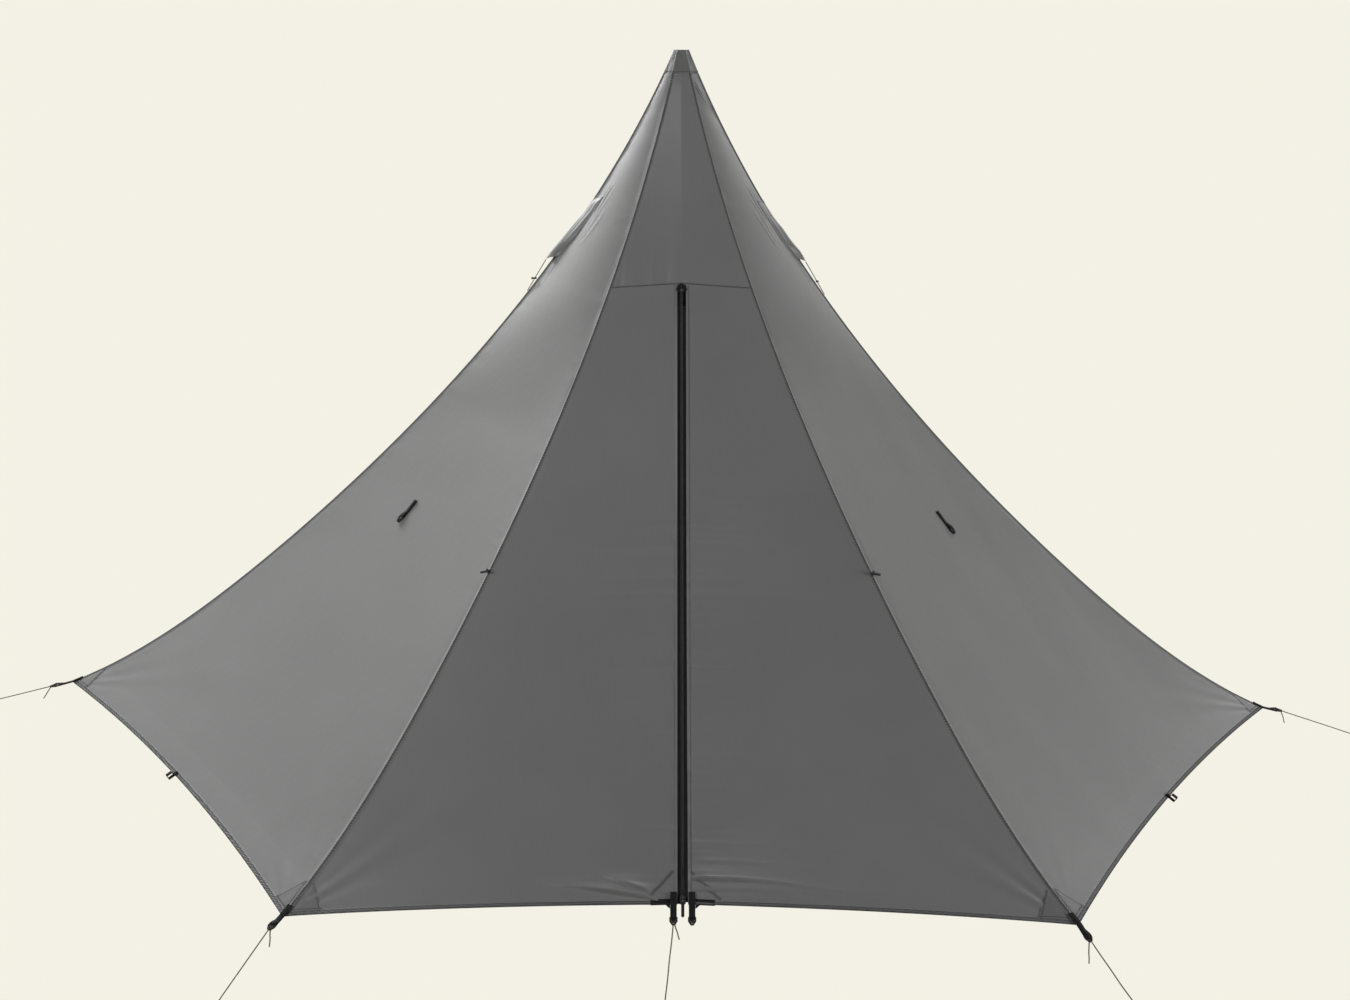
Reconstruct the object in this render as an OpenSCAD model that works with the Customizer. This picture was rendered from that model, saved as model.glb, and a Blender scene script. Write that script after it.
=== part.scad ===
// Single-pole hexagonal teepee tent with a zipped front, pitched. Millimetres, +Z up,
// origin at the foot of the centre pole, door towards -Y.

/* [Canopy] */
// Height of the canopy's peak above the ground
peak_height = 1785; // [1500:5:2100]
// Radius of the flat top of the peak
peak_radius = 17; // [15:0.5:24]
// Reach of the left side corner from the pole
reach_left = 1620; // [1400:5:1800]
// Reach of the front left corner from the pole
reach_front_left = 1580; // [1400:5:1800]
// Reach of the front right corner from the pole
reach_front_right = 1605; // [1400:5:1800]
// Reach of the right side corner from the pole
reach_right = 1545; // [1400:5:1800]
// Reach of both back corners from the pole
reach_back = 1600; // [1400:5:1800]
// Height of the left side corner above the ground
lift_left = 141; // [90:1:180]
// Height of both front corners above the ground
lift_front = 115; // [80:1:160]
// Height of the right side corner above the ground
lift_right = 80; // [60:1:140]
// Height of both back corners above the ground
lift_back = 60; // [45:1:70]
// Share of the ridge curve that runs straight
ridge_straight = 0.46; // [0.4:0.01:0.6]
// Share of the ridge curve that flares out at the foot
ridge_flare = 0.055; // [0:0.005:0.08]
// How near the foot the flare starts, as a power
flare_power = 18; // [8:1:24]
// Inward bow of each side and back panel, as a share of its width
panel_bow = 0.012; // [0:0.001:0.03]
// Height that the hem of a side or back panel is cut up by, as a share of the drop
hem_arch = 0.0066; // [0:0.0002:0.012]
// Inward thickness of the cloth
cloth = 1; // [0.8:0.1:1.5]
// Half the width of a ridge seam
seam_half = 5; // [3:0.5:8]
// Height that a ridge seam stands above the cloth
seam_rise = 0.4; // [0.2:0.1:0.6]
// Width of the hem tape
hem_width = 12; // [8:1:20]

/* [Door] */
// Compass bearing of the zip line, anticlockwise from +X in degrees
door_bearing = 270.6; // [269:0.1:271]
// Reach of the door's foot from the pole
door_reach = 1380; // [1300:5:1450]
// Height of the door's foot above the ground
door_lift = 150; // [120:1:180]
// Share of the drop at which the zip starts
door_top = 0.33; // [0.325:0.005:0.38]
// Inward bow of the zip line between its ends
zip_bow = 80; // [60:1:100]
// How far the cloth above the door is creased outward along its middle
door_crease = 8; // [0:0.5:12]
// Half the gap between the cloth edges at the zip
zip_half = 10.5; // [9:0.5:13]
// Distance of the fold line from the zip at its top
fold_top = 14; // [12:1:30]
// Share of the right half hem that the door flap takes
fold_share = 0.8; // [0.6:0.02:0.86]
// Clearance between the door flap and its surround
flap_gap = 0.8; // [0.6:0.1:0.9]
// Upward arch of each half of the front hem, as a share of the drop
door_arch = 0.003; // [0:0.0005:0.006]

/* [Zip] */
// Width of one zip tape
tape_width = 16; // [14:0.5:18]
// Thickness of a zip tape
tape_thick = 0.8; // [0.6:0.1:1]
// Depth of the zip below the outer face of the cloth
zip_depth = 2.9; // [2.4:0.1:3.5]
// Half the gap down the middle of the closed chain
chain_gap = 1.2; // [1:0.1:1.4]
// Width of one side's coil
coil_width = 2.4; // [2:0.1:2.8]
// Thickness of a coil
coil_thick = 2.6; // [2:0.1:2.8]
// Length of a slider
slider_length = 17; // [14:0.5:20]
// Thickness of each slider plate
slider_plate = 1.2; // [1:0.1:1.4]
// Length of a slider's pull
pull_length = 42; // [30:1:50]
// Clearance between a slider and the end of the door's chain
park_gap = 2; // [1:0.5:4]

/* [Webbing and line locks] */
// Width of the webbing
web_width = 13; // [10:0.5:16]
// Thickness of one layer of webbing
web_thick = 1.4; // [1:0.1:1.8]
// Free length of webbing beyond the left side corner
strap_left = 46; // [24:1:60]
// Free length of webbing beyond each front corner
strap_front = 26; // [20:1:40]
// Free length of webbing beyond the right side corner
strap_right = 34; // [24:1:50]
// Length of webbing sewn on inside a corner
strap_sewn = 30; // [20:1:45]
// Slope of the left, front left, front right and right straps below level
strap_angles = [16, 22, 34, 14]; // [8:1:36]
// Distance of the back peg rings from their corners
ring_reach = 34; // [30:1:50]
// Length of a line lock
lock_length = 17; // [14:0.5:20]
// Thickness of a line lock
lock_thick = 4.4; // [4:0.1:6]
// Free length of webbing at the door's foot
foot_drop = 32; // [20:1:40]
// Length of webbing sewn up beside the zip
foot_sewn = 28; // [20:1:45]
// Length of webbing sewn along the hem on each side of the door's foot
foot_strip = 39; // [20:1:50]
// Gap between the zip's cloth edge and the webbing beside it
foot_gap = 1.5; // [0.5:0.5:6]
// Length of webbing sewn on at a mid-panel pull-out
pullout_sewn = 18; // [10:1:25]
// Free length of webbing at a mid-panel pull-out
pullout_free = 34; // [20:1:40]
// Share of the drop at which the mid-panel pull-outs start
pullout_share = 0.653; // [0.62:0.001:0.655]
// Place of the mid-panel pull-outs across their panels, from the side ridges
pullout_across = 0.4; // [0.36:0.01:0.49]
// Inside height of a peg loop at the middle of a hem
hem_loop_height = 9; // [6:0.2:12]
// Length of a peg loop at the middle of a hem
hem_loop_length = 24; // [18:1:32]
// Diameter of a guyline
line_d = 2.6; // [2:0.1:3]
// Radius of the peg loop at the end of a guyline
peg_loop_radius = 13; // [10:0.5:18]

/* [Vents] */
// Share of the drop at which a hood starts
hood_top = 0.215; // [0.2:0.001:0.225]
// Share of the drop at which a vent opening starts
vent_top = 0.232; // [0.23:0.001:0.24]
// Share of the drop at which a vent opening is widest
vent_wide = 0.272; // [0.265:0.001:0.28]
// Share of the drop at which a vent opening ends
vent_foot = 0.3; // [0.295:0.001:0.305]
// Share of the drop at which each hood's tip ends, left and right
hood_tip = [0.313, 0.305]; // [0.303:0.001:0.318]
// Share of the drop at which each hood's cord meets the ridge, left and right
vent_cord_foot = [0.362, 0.354]; // [0.345:0.001:0.37]
// Width of a vent opening on each side of its seam
vent_half = 18; // [12:1:20]
// How far the hoods' tips stand off the ridges, left and right
hood_rise = [16, 12]; // [8:1:25]
// Half the width of a hood
hood_half = 30; // [26:1:45]
// Thickness of a hood
hood_thick = 1; // [0.8:0.1:1.5]

/* [Toggles] */
// Length of a vent toggle outside and inside its cord
vent_toggle_reach = [9, 4.5]; // [3:0.5:12]
// Diameter of a vent toggle
vent_toggle_d = 5; // [4:0.5:6]
// Diameter of a vent cord
vent_cord_d = 2; // [1.5:0.1:2.4]
// Length of a tie toggle
tie_toggle_length = 24; // [16:1:30]
// Diameter of a tie toggle
tie_toggle_d = 6; // [5:0.5:8]
// Diameter of the elastic that holds a tie toggle
tie_cord_d = 2.6; // [2:0.1:3]
// Share of the drop at which the door's tie toggles sit
tie_share = 0.676; // [0.62:0.002:0.68]

/* [Pole] */
// Outer diameter of the pole
pole_d = 16; // [14:0.5:20]
// Wall of the pole
pole_wall = 1; // [0.8:0.1:1.5]
// Length of the spigot that joins two sections
spigot_length = 90; // [60:5:120]
// Diameter of the pole's rubber foot
foot_d = 24; // [20:1:32]
// Height of the pole's rubber foot
foot_height = 22; // [16:1:30]

/* [Hidden] */
SECTIONS = 5;
SIDES = ["left", "front_left", "front_right", "right", "back_right", "back_left"];
BEARING = [180, 240, 300, 0, 60, 120];
REACH = [reach_left, reach_front_left, reach_front_right, reach_right, reach_back, reach_back];
LIFT = [lift_left, lift_front, lift_front, lift_right, lift_back, lift_back];
LEFT = 0;
FRONT_LEFT = 1;
FRONT_RIGHT = 2;
RIGHT = 3;
BACK_RIGHT = 4;
BACK_LEFT = 5;
canopy_grey = [0.42, 0.42, 0.43];
shade_grey = [0.36, 0.36, 0.37];
black_web = [0.06, 0.06, 0.06];
line_grey = [0.38, 0.37, 0.33];
mesh_black = [0.12, 0.12, 0.12];
play = 0.4;
seat = 0.25;
seam_gap = 0.1;

// Routes of the guylines, from inside the line lock to the knot of the peg loop
LINE_LEFT = [
    [-1680, 0, 129], [-1780, 0, 103], [-1880, 0, 78], [-1980, 0, 52], [-2080, 0, 27], [-2172, 0, 4]
];
LINE_RIGHT = [[1593, 0, 73], [1635, 0, 59], [1677, 0, 45], [1719, 0, 31], [1760, 0, 17], [1798, 0, 4]];
LINE_FRONT_LEFT = [
    [-810, -1402, 104], [-827, -1432, 84], [-844, -1461, 64], [-861, -1491, 44], [-878, -1520, 24],
    [-894, -1548, 4]
];
LINE_FRONT_RIGHT = [
    [821, -1421, 97], [837, -1449, 78], [853, -1477, 60], [869, -1505, 41], [886, -1533, 23], [901, -1560, 4]
];
LINE_DOOR = [
    [-4, -1421, 128], [-7, -1450, 103], [-11, -1480, 78], [-14, -1510, 53], [-18, -1539, 28], [-21, -1568, 4]
];
// Free tails of the same lines, hanging from the locks
TAIL_LEFT = [[-1680, -3, 127], [-1685, -4, 120], [-1690, -5, 112], [-1695, -6, 104], [-1700, -7, 97]];
TAIL_RIGHT = [[1593, -3, 71], [1596, -4, 64], [1599, -5, 56], [1601, -6, 48], [1603, -7, 41]];
TAIL_FRONT_LEFT = [
    [-807, -1404, 102], [-808, -1405, 94], [-808, -1406, 85], [-809, -1407, 76], [-810, -1408, 68]
];
TAIL_FRONT_RIGHT = [[818, -1423, 95], [818, -1424, 85], [818, -1425, 73], [819, -1426, 61], [819, -1427, 50]];
TAIL_DOOR = [[-1, -1421, 127], [1, -1422, 119], [4, -1423, 111], [6, -1424, 103], [8, -1425, 96]];

// ---- canopy surface ----------------------------------------------------------------

function sweep_of(t) =
    ridge_straight * t + (1 - ridge_straight - ridge_flare) * t * t + ridge_flare * pow(t, flare_power);

// Point of a rib that leaves the peak on a bearing and ends at a reach and a lift
function on_rib(bearing, reach, lift, start, t) =
    let (out = start + (reach - start) * sweep_of(t))
    [out * cos(bearing), out * sin(bearing), peak_height - (peak_height - lift) * t];

function on_ridge(k, t) = on_rib(BEARING[k], REACH[k], LIFT[k], peak_radius, t);

// Rib down the middle of the front, creased softly outward between the peak's patch and
// the head of the zip
patch_foot = 0.034;
function crease(t) = t < patch_foot || t > door_top ? 0
    : door_crease * sin(180 * (t - patch_foot) / (door_top - patch_foot));
function on_front_rib(t) =
    let (p = on_rib(door_bearing, door_reach, door_lift, peak_radius * cos(30), t))
    p + crease(t) * [cos(door_bearing), sin(door_bearing), 0];

// The zip lies on a circular arc in the upright plane through the pole. Places in that
// plane are [reach, height].
function in_plane(p) = [norm([p[0], p[1]]), p[2]];
zip_head = in_plane(on_front_rib(door_top));
zip_foot = in_plane(on_front_rib(1));
zip_chord = norm(zip_foot - zip_head);
zip_radius = (zip_chord * zip_chord / 4 + zip_bow * zip_bow) / (2 * zip_bow);
zip_along = (zip_foot - zip_head) / zip_chord;
zip_centre = (zip_head + zip_foot) / 2 + [-zip_along[1], zip_along[0]] * (zip_radius - zip_bow);
zip_start = atan2(zip_centre[1] - zip_head[1], zip_centre[0] - zip_head[0]);
zip_sweep = 2 * asin(zip_chord / 2 / zip_radius);
zip_length = zip_radius * zip_sweep * PI / 180;

function across_door() = [cos(door_bearing + 90), sin(door_bearing + 90), 0];

// Point beside the front centre line: on the rib above the door, on the zip's arc below
function on_door_line(t, aside = 0) =
    let (
        height = peak_height - (peak_height - door_lift) * t,
        rise = height - zip_centre[1],
        reach = zip_centre[0] - sqrt(zip_radius * zip_radius - rise * rise)
    )
    (t <= door_top ? on_front_rib(t) : [reach * cos(door_bearing), reach * sin(door_bearing), height])
        + across_door() * aside;

// Point a little way from a ridge towards the next one, where the panel's cloth starts
function beside(here, there, aside) =
    let (gap = norm(there - here))
    here + (there - here) / gap * min(aside, gap * 0.3);

function flat_out(p) = [p[0], p[1], 0] / norm([p[0], p[1]]);
function mix(a, b, u) = a * (1 - u) + b * u;

// Moves a point off the cloth, outward and up, or inward and down
function skin(p, rise) = p + (flat_out(p) + [0, 0, 1]) * rise;

// Place on a panel between two edges, bowed inward across its width
function on_panel(left, right, t, u, bow) =
    let (a = left(t), b = right(t))
    mix(a, b, u) - flat_out((a + b) / 2) * bow * norm(b - a) * 4 * u * (1 - u);

// Rows shared by all panels and seams, closer together towards the flare at the foot
UPPER_ROWS = [
    0, patch_foot, mix(patch_foot, hood_top, 1 / 3), mix(patch_foot, hood_top, 2 / 3),
    hood_top, vent_top, vent_wide, vent_foot, door_top
];
ROW_STEPS = 10;
foot_slope = norm(on_ridge(LEFT, 1) - on_ridge(LEFT, 0.99)) / 0.01;
hem_start = 1 - hem_width / foot_slope;
function lower_row(i) = door_top + (hem_start - door_top) * (1 - pow(1 - i / ROW_STEPS, 1.5));
LOWER_ROWS = [for (i = [1:ROW_STEPS]) lower_row(i)];
ALL_ROWS = concat(UPPER_ROWS, LOWER_ROWS);
HEM_ROWS = [hem_start + 1.5 * seam_gap / foot_slope, 1];
corner_row = lower_row(ROW_STEPS - 1);

// Place at height share t on the straight facets between the rows of a path
function straight(path, t) =
    [for (axis = [0:2]) lookup(t, [for (r = concat(ALL_ROWS, [1])) [r, path(r)[axis]]])];

function arched(t, u, arch) =
    t <= door_top ? t : door_top + (t - door_top) * (1 - arch * 4 * u * (1 - u));

function panel_grid(left, right, rows, bow, arch, from, to, columns) = [
    for (t = rows)
        for (j = [0:columns])
            let (u = mix(from(t), to(t), j / columns))
            on_panel(left, right, arched(t, u, arch), u, bow)
];

// Closed sheet from a grid of points seen from outside, row by row from the top left, and
// the same grid moved to its back. Its diagonals run down towards both sides.
module sheet(grid, rows, columns, back) {
    wide = columns + 1;
    count = rows * wide;
    function at(i, j, side = 0) = i * wide + j + side * count;
    function cell(i, j, side) =
        j < columns / 2
            ? [[at(i, j, side), at(i, j + 1, side), at(i + 1, j + 1, side)],
               [at(i, j, side), at(i + 1, j + 1, side), at(i + 1, j, side)]]
            : [[at(i, j, side), at(i, j + 1, side), at(i + 1, j, side)],
               [at(i, j + 1, side), at(i + 1, j + 1, side), at(i + 1, j, side)]];
    function turned(face) = [face[0], face[2], face[1]];
    polyhedron(
        points = concat(grid, back),
        faces = concat(
            [for (i = [0:rows - 2]) for (j = [0:columns - 1]) for (f = cell(i, j, 0)) f],
            [for (i = [0:rows - 2]) for (j = [0:columns - 1]) for (f = cell(i, j, 1)) turned(f)],
            [for (j = [0:columns - 1]) [at(0, j, 1), at(0, j + 1, 1), at(0, j + 1)]],
            [for (j = [0:columns - 1]) [at(0, j, 1), at(0, j + 1), at(0, j)]],
            [for (j = [0:columns - 1]) [at(rows - 1, j), at(rows - 1, j + 1), at(rows - 1, j + 1, 1)]],
            [for (j = [0:columns - 1]) [at(rows - 1, j), at(rows - 1, j + 1, 1), at(rows - 1, j, 1)]],
            [for (i = [0:rows - 2]) [at(i, 0), at(i + 1, 0), at(i + 1, 0, 1)]],
            [for (i = [0:rows - 2]) [at(i, 0), at(i + 1, 0, 1), at(i, 0, 1)]],
            [for (i = [0:rows - 2]) [at(i, columns), at(i, columns, 1), at(i + 1, columns, 1)]],
            [for (i = [0:rows - 2]) [at(i, columns), at(i + 1, columns, 1), at(i + 1, columns)]]
        )
    );
}

module cloth_panel(left, right, rows, bow, arch, from = function(t) 0, to = function(t) 1, columns = 6) {
    grid = panel_grid(left, right, rows, bow, arch, from, to, columns);
    sheet(grid, len(rows), columns, [for (p = grid) skin(p, -cloth)]);
}

// Edge of a side or back panel beside its ridge
function panel_edge(k, next, t) = beside(on_ridge(k, t), on_ridge(next, t), seam_half + seam_gap);
function panel_width(k, next, t) = norm(panel_edge(k, next, t) - panel_edge(next, k, t));

// Share of a panel's row that its vent opening takes, beside a side ridge
function notch(k, next, t) =
    (k == LEFT || k == RIGHT)
        ? lookup(t, [[vent_top, 0], [vent_wide, vent_half], [vent_foot, 0]]) / panel_width(k, next, t)
        : 0;

// Place on a side or back panel, from the ridge k towards the next
function on_side(k, next, t, u) =
    on_panel(
        function(s) panel_edge(k, next, s),
        function(s) panel_edge(next, k, s),
        arched(t, u, hem_arch),
        u,
        panel_bow
    );

// A whole panel between two neighbouring ridges, seen from outside
module side_panel(k, next, rows) {
    cloth_panel(
        function(t) panel_edge(k, next, t),
        function(t) panel_edge(next, k, t),
        rows,
        panel_bow,
        hem_arch,
        function(t) notch(k, next, t),
        function(t) 1 - notch(next, k, t)
    );
}

module panel_front_left() {
    color(canopy_grey) side_panel(LEFT, FRONT_LEFT, ALL_ROWS);
}

module panel_front_right() {
    color(canopy_grey) side_panel(FRONT_RIGHT, RIGHT, ALL_ROWS);
}

module panel_back_right() {
    color(canopy_grey) side_panel(RIGHT, BACK_RIGHT, ALL_ROWS);
}

module panel_back() {
    color(canopy_grey) side_panel(BACK_RIGHT, BACK_LEFT, ALL_ROWS);
}

module panel_back_left() {
    color(canopy_grey) side_panel(BACK_LEFT, LEFT, ALL_ROWS);
}

// ---- front panels ------------------------------------------------------------------

function front_edge(k, t) = beside(on_ridge(k, t), on_door_line(t), seam_half + seam_gap);
function door_left_edge(t) = straight(function(s) front_edge(FRONT_LEFT, s), t);
function door_right_edge(t) = straight(function(s) front_edge(FRONT_RIGHT, s), t);

module panel_door_top() {
    grid = [
        for (t = UPPER_ROWS)
            for (j = [-3:3])
                j < 0 ? mix(on_door_line(t), door_left_edge(t), -j / 3)
                    : mix(on_door_line(t), door_right_edge(t), j / 3)
    ];
    color(shade_grey) sheet(grid, len(UPPER_ROWS), 6, [for (p = grid) skin(p, -cloth)]);
}

// Drop between the panel above the door and the panels below it
seam_drop = 0.0005;
DOOR_ROWS = concat([door_top + seam_drop], LOWER_ROWS);

module panel_door_left() {
    color(shade_grey)
        cloth_panel(
            function(t) door_left_edge(t),
            function(t) on_door_line(t, -zip_half),
            DOOR_ROWS,
            0,
            door_arch
        );
}

// The flap that folds open starts below the top slider's pull. This is the share of a row,
// from the zip's edge to the ridge, at which its fold line runs, straight in plan.
flap_run = 3 + slider_length / 2 + pull_length + 4;
flap_height = zip_centre[1] - zip_radius * sin(zip_start + flap_run / zip_radius * 180 / PI);
flap_start = (peak_height - flap_height) / (peak_height - door_lift);
fold_head = on_door_line(flap_start, zip_half + fold_top);
fold_foot = mix(on_door_line(1, zip_half), door_right_edge(1), fold_share);
function fold_at(t) =
    let (
        run = fold_foot - fold_head,
        a = on_door_line(t, zip_half) - fold_head,
        b = door_right_edge(t) - fold_head,
        off_a = a[1] * run[0] - a[0] * run[1],
        off_b = b[1] * run[0] - b[0] * run[1]
    )
    off_a / (off_a - off_b);

function half_width(t) = norm(door_right_edge(t) - on_door_line(t, zip_half));

module panel_door_right() {
    color(shade_grey)
        cloth_panel(
            function(t) on_door_line(t, zip_half),
            function(t) door_right_edge(t),
            concat([door_top + seam_drop, flap_start, flap_start + seam_drop], LOWER_ROWS),
            0,
            door_arch,
            function(t) t > flap_start ? fold_at(t) : 0,
            function(t) 1,
            3
        );
}

module door_flap() {
    color(shade_grey)
        cloth_panel(
            function(t) on_door_line(t, zip_half),
            function(t) door_right_edge(t),
            concat([flap_start + 2 * seam_drop], LOWER_ROWS),
            0,
            door_arch,
            function(t) 0,
            function(t) fold_at(t) - flap_gap / half_width(t),
            5
        );
}

// ---- seams, hems and reinforcements ------------------------------------------------

// One ridge seam: a shallow folded strip between the cloth edges of its two panels
module ridge_seam(k, before, after) {
    rows = concat(ALL_ROWS, [1]);
    function rise(t) = seam_rise * min(t / patch_foot, 1);
    grid = [
        for (t = rows)
            for (p = [
                beside(on_ridge(k, t), before(t), seam_half),
                on_ridge(k, t),
                beside(on_ridge(k, t), after(t), seam_half)
            ])
                skin(p, rise(t))
    ];
    back = [for (i = [0:len(grid) - 1]) skin(grid[i], -cloth - rise(rows[floor(i / 3)]))];
    sheet(grid, len(rows), 2, back);
}

module ridge_seams() {
    color(shade_grey) {
        for (k = [LEFT, RIGHT, BACK_RIGHT, BACK_LEFT])
            ridge_seam(k, function(t) on_ridge((k + 5) % 6, t), function(t) on_ridge((k + 1) % 6, t));
        ridge_seam(FRONT_LEFT, function(t) on_ridge(LEFT, t), function(t) on_door_line(t));
        ridge_seam(FRONT_RIGHT, function(t) on_door_line(t), function(t) on_ridge(RIGHT, t));
    }
}

module hem_tape() {
    color(shade_grey) {
        for (k = [LEFT, FRONT_RIGHT, RIGHT, BACK_RIGHT, BACK_LEFT])
            side_panel(k, (k + 1) % 6, HEM_ROWS);
        cloth_panel(
            function(t) door_left_edge(t),
            function(t) on_door_line(t, -zip_half),
            HEM_ROWS,
            0,
            door_arch
        );
        cloth_panel(
            function(t) on_door_line(t, zip_half),
            function(t) door_right_edge(t),
            HEM_ROWS,
            0,
            door_arch,
            function(t) fold_at(t),
            function(t) 1,
            3
        );
    }
}

module door_flap_hem() {
    color(shade_grey)
        cloth_panel(
            function(t) on_door_line(t, zip_half),
            function(t) door_right_edge(t),
            HEM_ROWS,
            0,
            door_arch,
            function(t) 0,
            function(t) fold_at(t) - flap_gap / half_width(t),
            5
        );
}

// Reinforcing cone over the peak
module peak_patch() {
    function ring(t, rise) = [for (k = [0:5]) skin(on_ridge(k, t), rise)];
    near = seam_rise + seat;
    far = near + cloth / 2;
    points = concat(ring(0, far), ring(patch_foot, far), ring(0, near), ring(patch_foot, near));
    color(shade_grey)
        polyhedron(
            points = points,
            faces = [
                for (k = [0:5])
                    let (n = (k + 1) % 6)
                    each [
                        [k, n, 6 + n], [k, 6 + n, 6 + k], [12 + k, 18 + n, 12 + n], [12 + k, 18 + k, 18 + n],
                        [k, 12 + k, 12 + n], [k, 12 + n, n], [6 + k, 6 + n, 18 + n], [6 + k, 18 + n, 18 + k]
                    ]
            ]
        );
}

// Flat top of the peak, sewn over the six panels
module peak_cap() {
    color(shade_grey)
        translate([0, 0, peak_height])
            cylinder(r = peak_radius, h = cap_thick, $fn = 6);
}

cap_thick = 1.5;
cup_wall = 2;
plug_height = 13;
cup_radius = pole_d / 2 + 3;

// Cup inside the peak that takes the top of the pole
module peak_cup() {
    color(black_web)
        translate([0, 0, peak_height - plug_height])
            difference() {
                cylinder(r = cup_radius, h = plug_height, $fn = 48);
                translate([0, 0, -1])
                    cylinder(r = pole_d / 2 - 2 + play, h = plug_height - cup_wall + 1, $fn = 48);
            }
}

// Doubled cloth at the corners: on each panel a triangle from the seam to the hem
patch_across = 0.045;
patch_aside = 0.004;
module corner_patch(k, edge) {
    grid = [edge(corner_row, patch_aside), edge(hem_start, patch_aside), edge(hem_start, patch_across)];
    points = concat(
        [for (p = grid) skin(p, seat + cloth / 2)],
        [for (p = grid) skin(p, seat)]
    );
    hull()
        polyhedron(
            points = points,
            faces = [[0, 1, 2], [3, 5, 4], [0, 3, 4], [0, 4, 1], [1, 4, 5], [1, 5, 2], [2, 5, 3], [2, 3, 0]]
        );
}

module corner_patches() {
    color(shade_grey) {
        for (k = [LEFT, FRONT_RIGHT, RIGHT, BACK_RIGHT, BACK_LEFT])
            corner_patch(k, function(t, u) first_cell(k, (k + 1) % 6, t, u));
        for (k = [LEFT, FRONT_LEFT, RIGHT, BACK_RIGHT, BACK_LEFT])
            corner_patch(k, function(t, u) first_cell(k, (k + 5) % 6, t, u));
        corner_patch(FRONT_LEFT, function(t, u) mix(door_left_edge(t), on_door_line(t), 2 * u));
        corner_patch(FRONT_RIGHT, function(t, u) mix(door_right_edge(t), on_door_line(t), 2 * u));
    }
}

// Place on the flat facet of a side or back panel that lies next to ridge k
function first_cell(k, next, t, u) = mix(on_side(k, next, t, 0), on_side(k, next, t, 1 / 6), u * 6);

// ---- zip ---------------------------------------------------------------------------

tape_radius = zip_radius + zip_depth;
function zip_angle(run) = zip_start + run / zip_radius * 180 / PI;

// Frame on the zip a distance down from its head: x to the right, y inward, z up the zip
module at_zip(run) {
    rotate([0, 0, door_bearing - 270])
        translate([0, -zip_centre[0], zip_centre[1]])
            rotate([-zip_angle(run), 0, 0])
                translate([0, tape_radius, 0])
                    children();
}

// Sweeps a flat outline along the zip: x of the outline is outward, y to the right
module along_zip(from, to) {
    rotate([0, 0, door_bearing - 270])
        translate([0, -zip_centre[0], zip_centre[1]])
            rotate([-90, 0, 0])
                rotate([0, -90, 0])
                    rotate([0, 0, zip_angle(from)])
                        rotate_extrude(angle = zip_angle(to) - zip_angle(from), $fn = 720)
                            translate([tape_radius, 0])
                                rotate(180)
                                    children();
}

park = slider_length + park_gap;
tape_inner = chain_gap + coil_width;

module tape_outline() {
    translate([-tape_thick / 2, tape_inner])
        square([tape_thick, tape_width - coil_width]);
}

module coil_outline() {
    side = coil_thick / 2;
    lean = coil_width / 4;
    translate([0, chain_gap])
        polygon([
            [-side + lean, 0], [side - lean, 0], [side, lean], [side, coil_width - lean],
            [side - lean, coil_width], [lean - side, coil_width], [-side, coil_width - lean], [-side, lean]
        ]);
}

zip_tail = 4;
tape_tuck = 4;

module zip_tape_left() {
    color(black_web) along_zip(-tape_tuck, zip_length - zip_tail) mirror([0, 1]) tape_outline();
}

module zip_tape_right() {
    color(black_web) along_zip(flap_run + 3, zip_length - zip_tail - park) tape_outline();
}

module zip_coil_left() {
    color([0.16, 0.16, 0.17]) along_zip(3, zip_length - zip_tail) mirror([0, 1]) coil_outline();
}

module zip_coil_right() {
    color([0.16, 0.16, 0.17]) along_zip(flap_run + 3, zip_length - zip_tail - park) coil_outline();
}

// The head of the right tape stays sewn to the panel above the door
module zip_end_tab() {
    color(black_web) {
        along_zip(-tape_tuck, flap_run - 1) translate([0, seam_gap]) tape_outline();
        along_zip(3, flap_run - 1) coil_outline();
    }
}

plate_in = coil_thick / 2 + play;
flange_in = tape_inner + play + 1;
flange_out = flange_in + slider_plate;
eye_radius = 1.3;
eye_out = plate_in + slider_plate + eye_radius + 0.9;

// Zip slider: two plates joined by a post between the coils, with flanges that leave a
// slot for each tape and an eye for the pull. Its mouth, where the coils part, is up.
module slider_body() {
    half = slider_length / 2;
    plate = [
        [-flange_out + 1.2, -half], [flange_out - 1.2, -half], [flange_out, -half + 3],
        [flange_out, half - 2.5], [flange_out - 1.6, half], [1.6, half], [0, half - 1.8],
        [-1.6, half], [-flange_out + 1.6, half], [-flange_out, half - 2.5], [-flange_out, -half + 3]
    ];
    color([0.1, 0.1, 0.11]) {
        for (side = [-1, 1])
            translate([0, side * plate_in + (side < 0 ? 0 : slider_plate), 0])
                rotate([90, 0, 0])
                    linear_extrude(slider_plate)
                        polygon(plate);
        for (side = [-1, 1])
            for (face = [-1, 1])
                translate([
                    side > 0 ? flange_in : -flange_out,
                    face > 0 ? tape_thick / 2 + play : -plate_in,
                    -half + 3
                ])
                    cube([slider_plate, plate_in - tape_thick / 2 - play, slider_length - 6]);
        translate([-chain_gap + play, -plate_in, half - 6])
            cube([2 * (chain_gap - play), 2 * plate_in, 3]);
        difference() {
            translate([-1.2, -eye_out, 0])
                rotate([0, 90, 0])
                    linear_extrude(2.4)
                        polygon([
                            [-7, eye_out - plate_in - slider_plate], [-4, -1], [-1.6, -2.3], [1.6, -2.3],
                            [4, -1], [7, eye_out - plate_in - slider_plate]
                        ]);
            translate([-2, -eye_out, 0])
                rotate([0, 90, 0])
                    cylinder(r = eye_radius, h = 4, $fn = 32);
        }
    }
}

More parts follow.
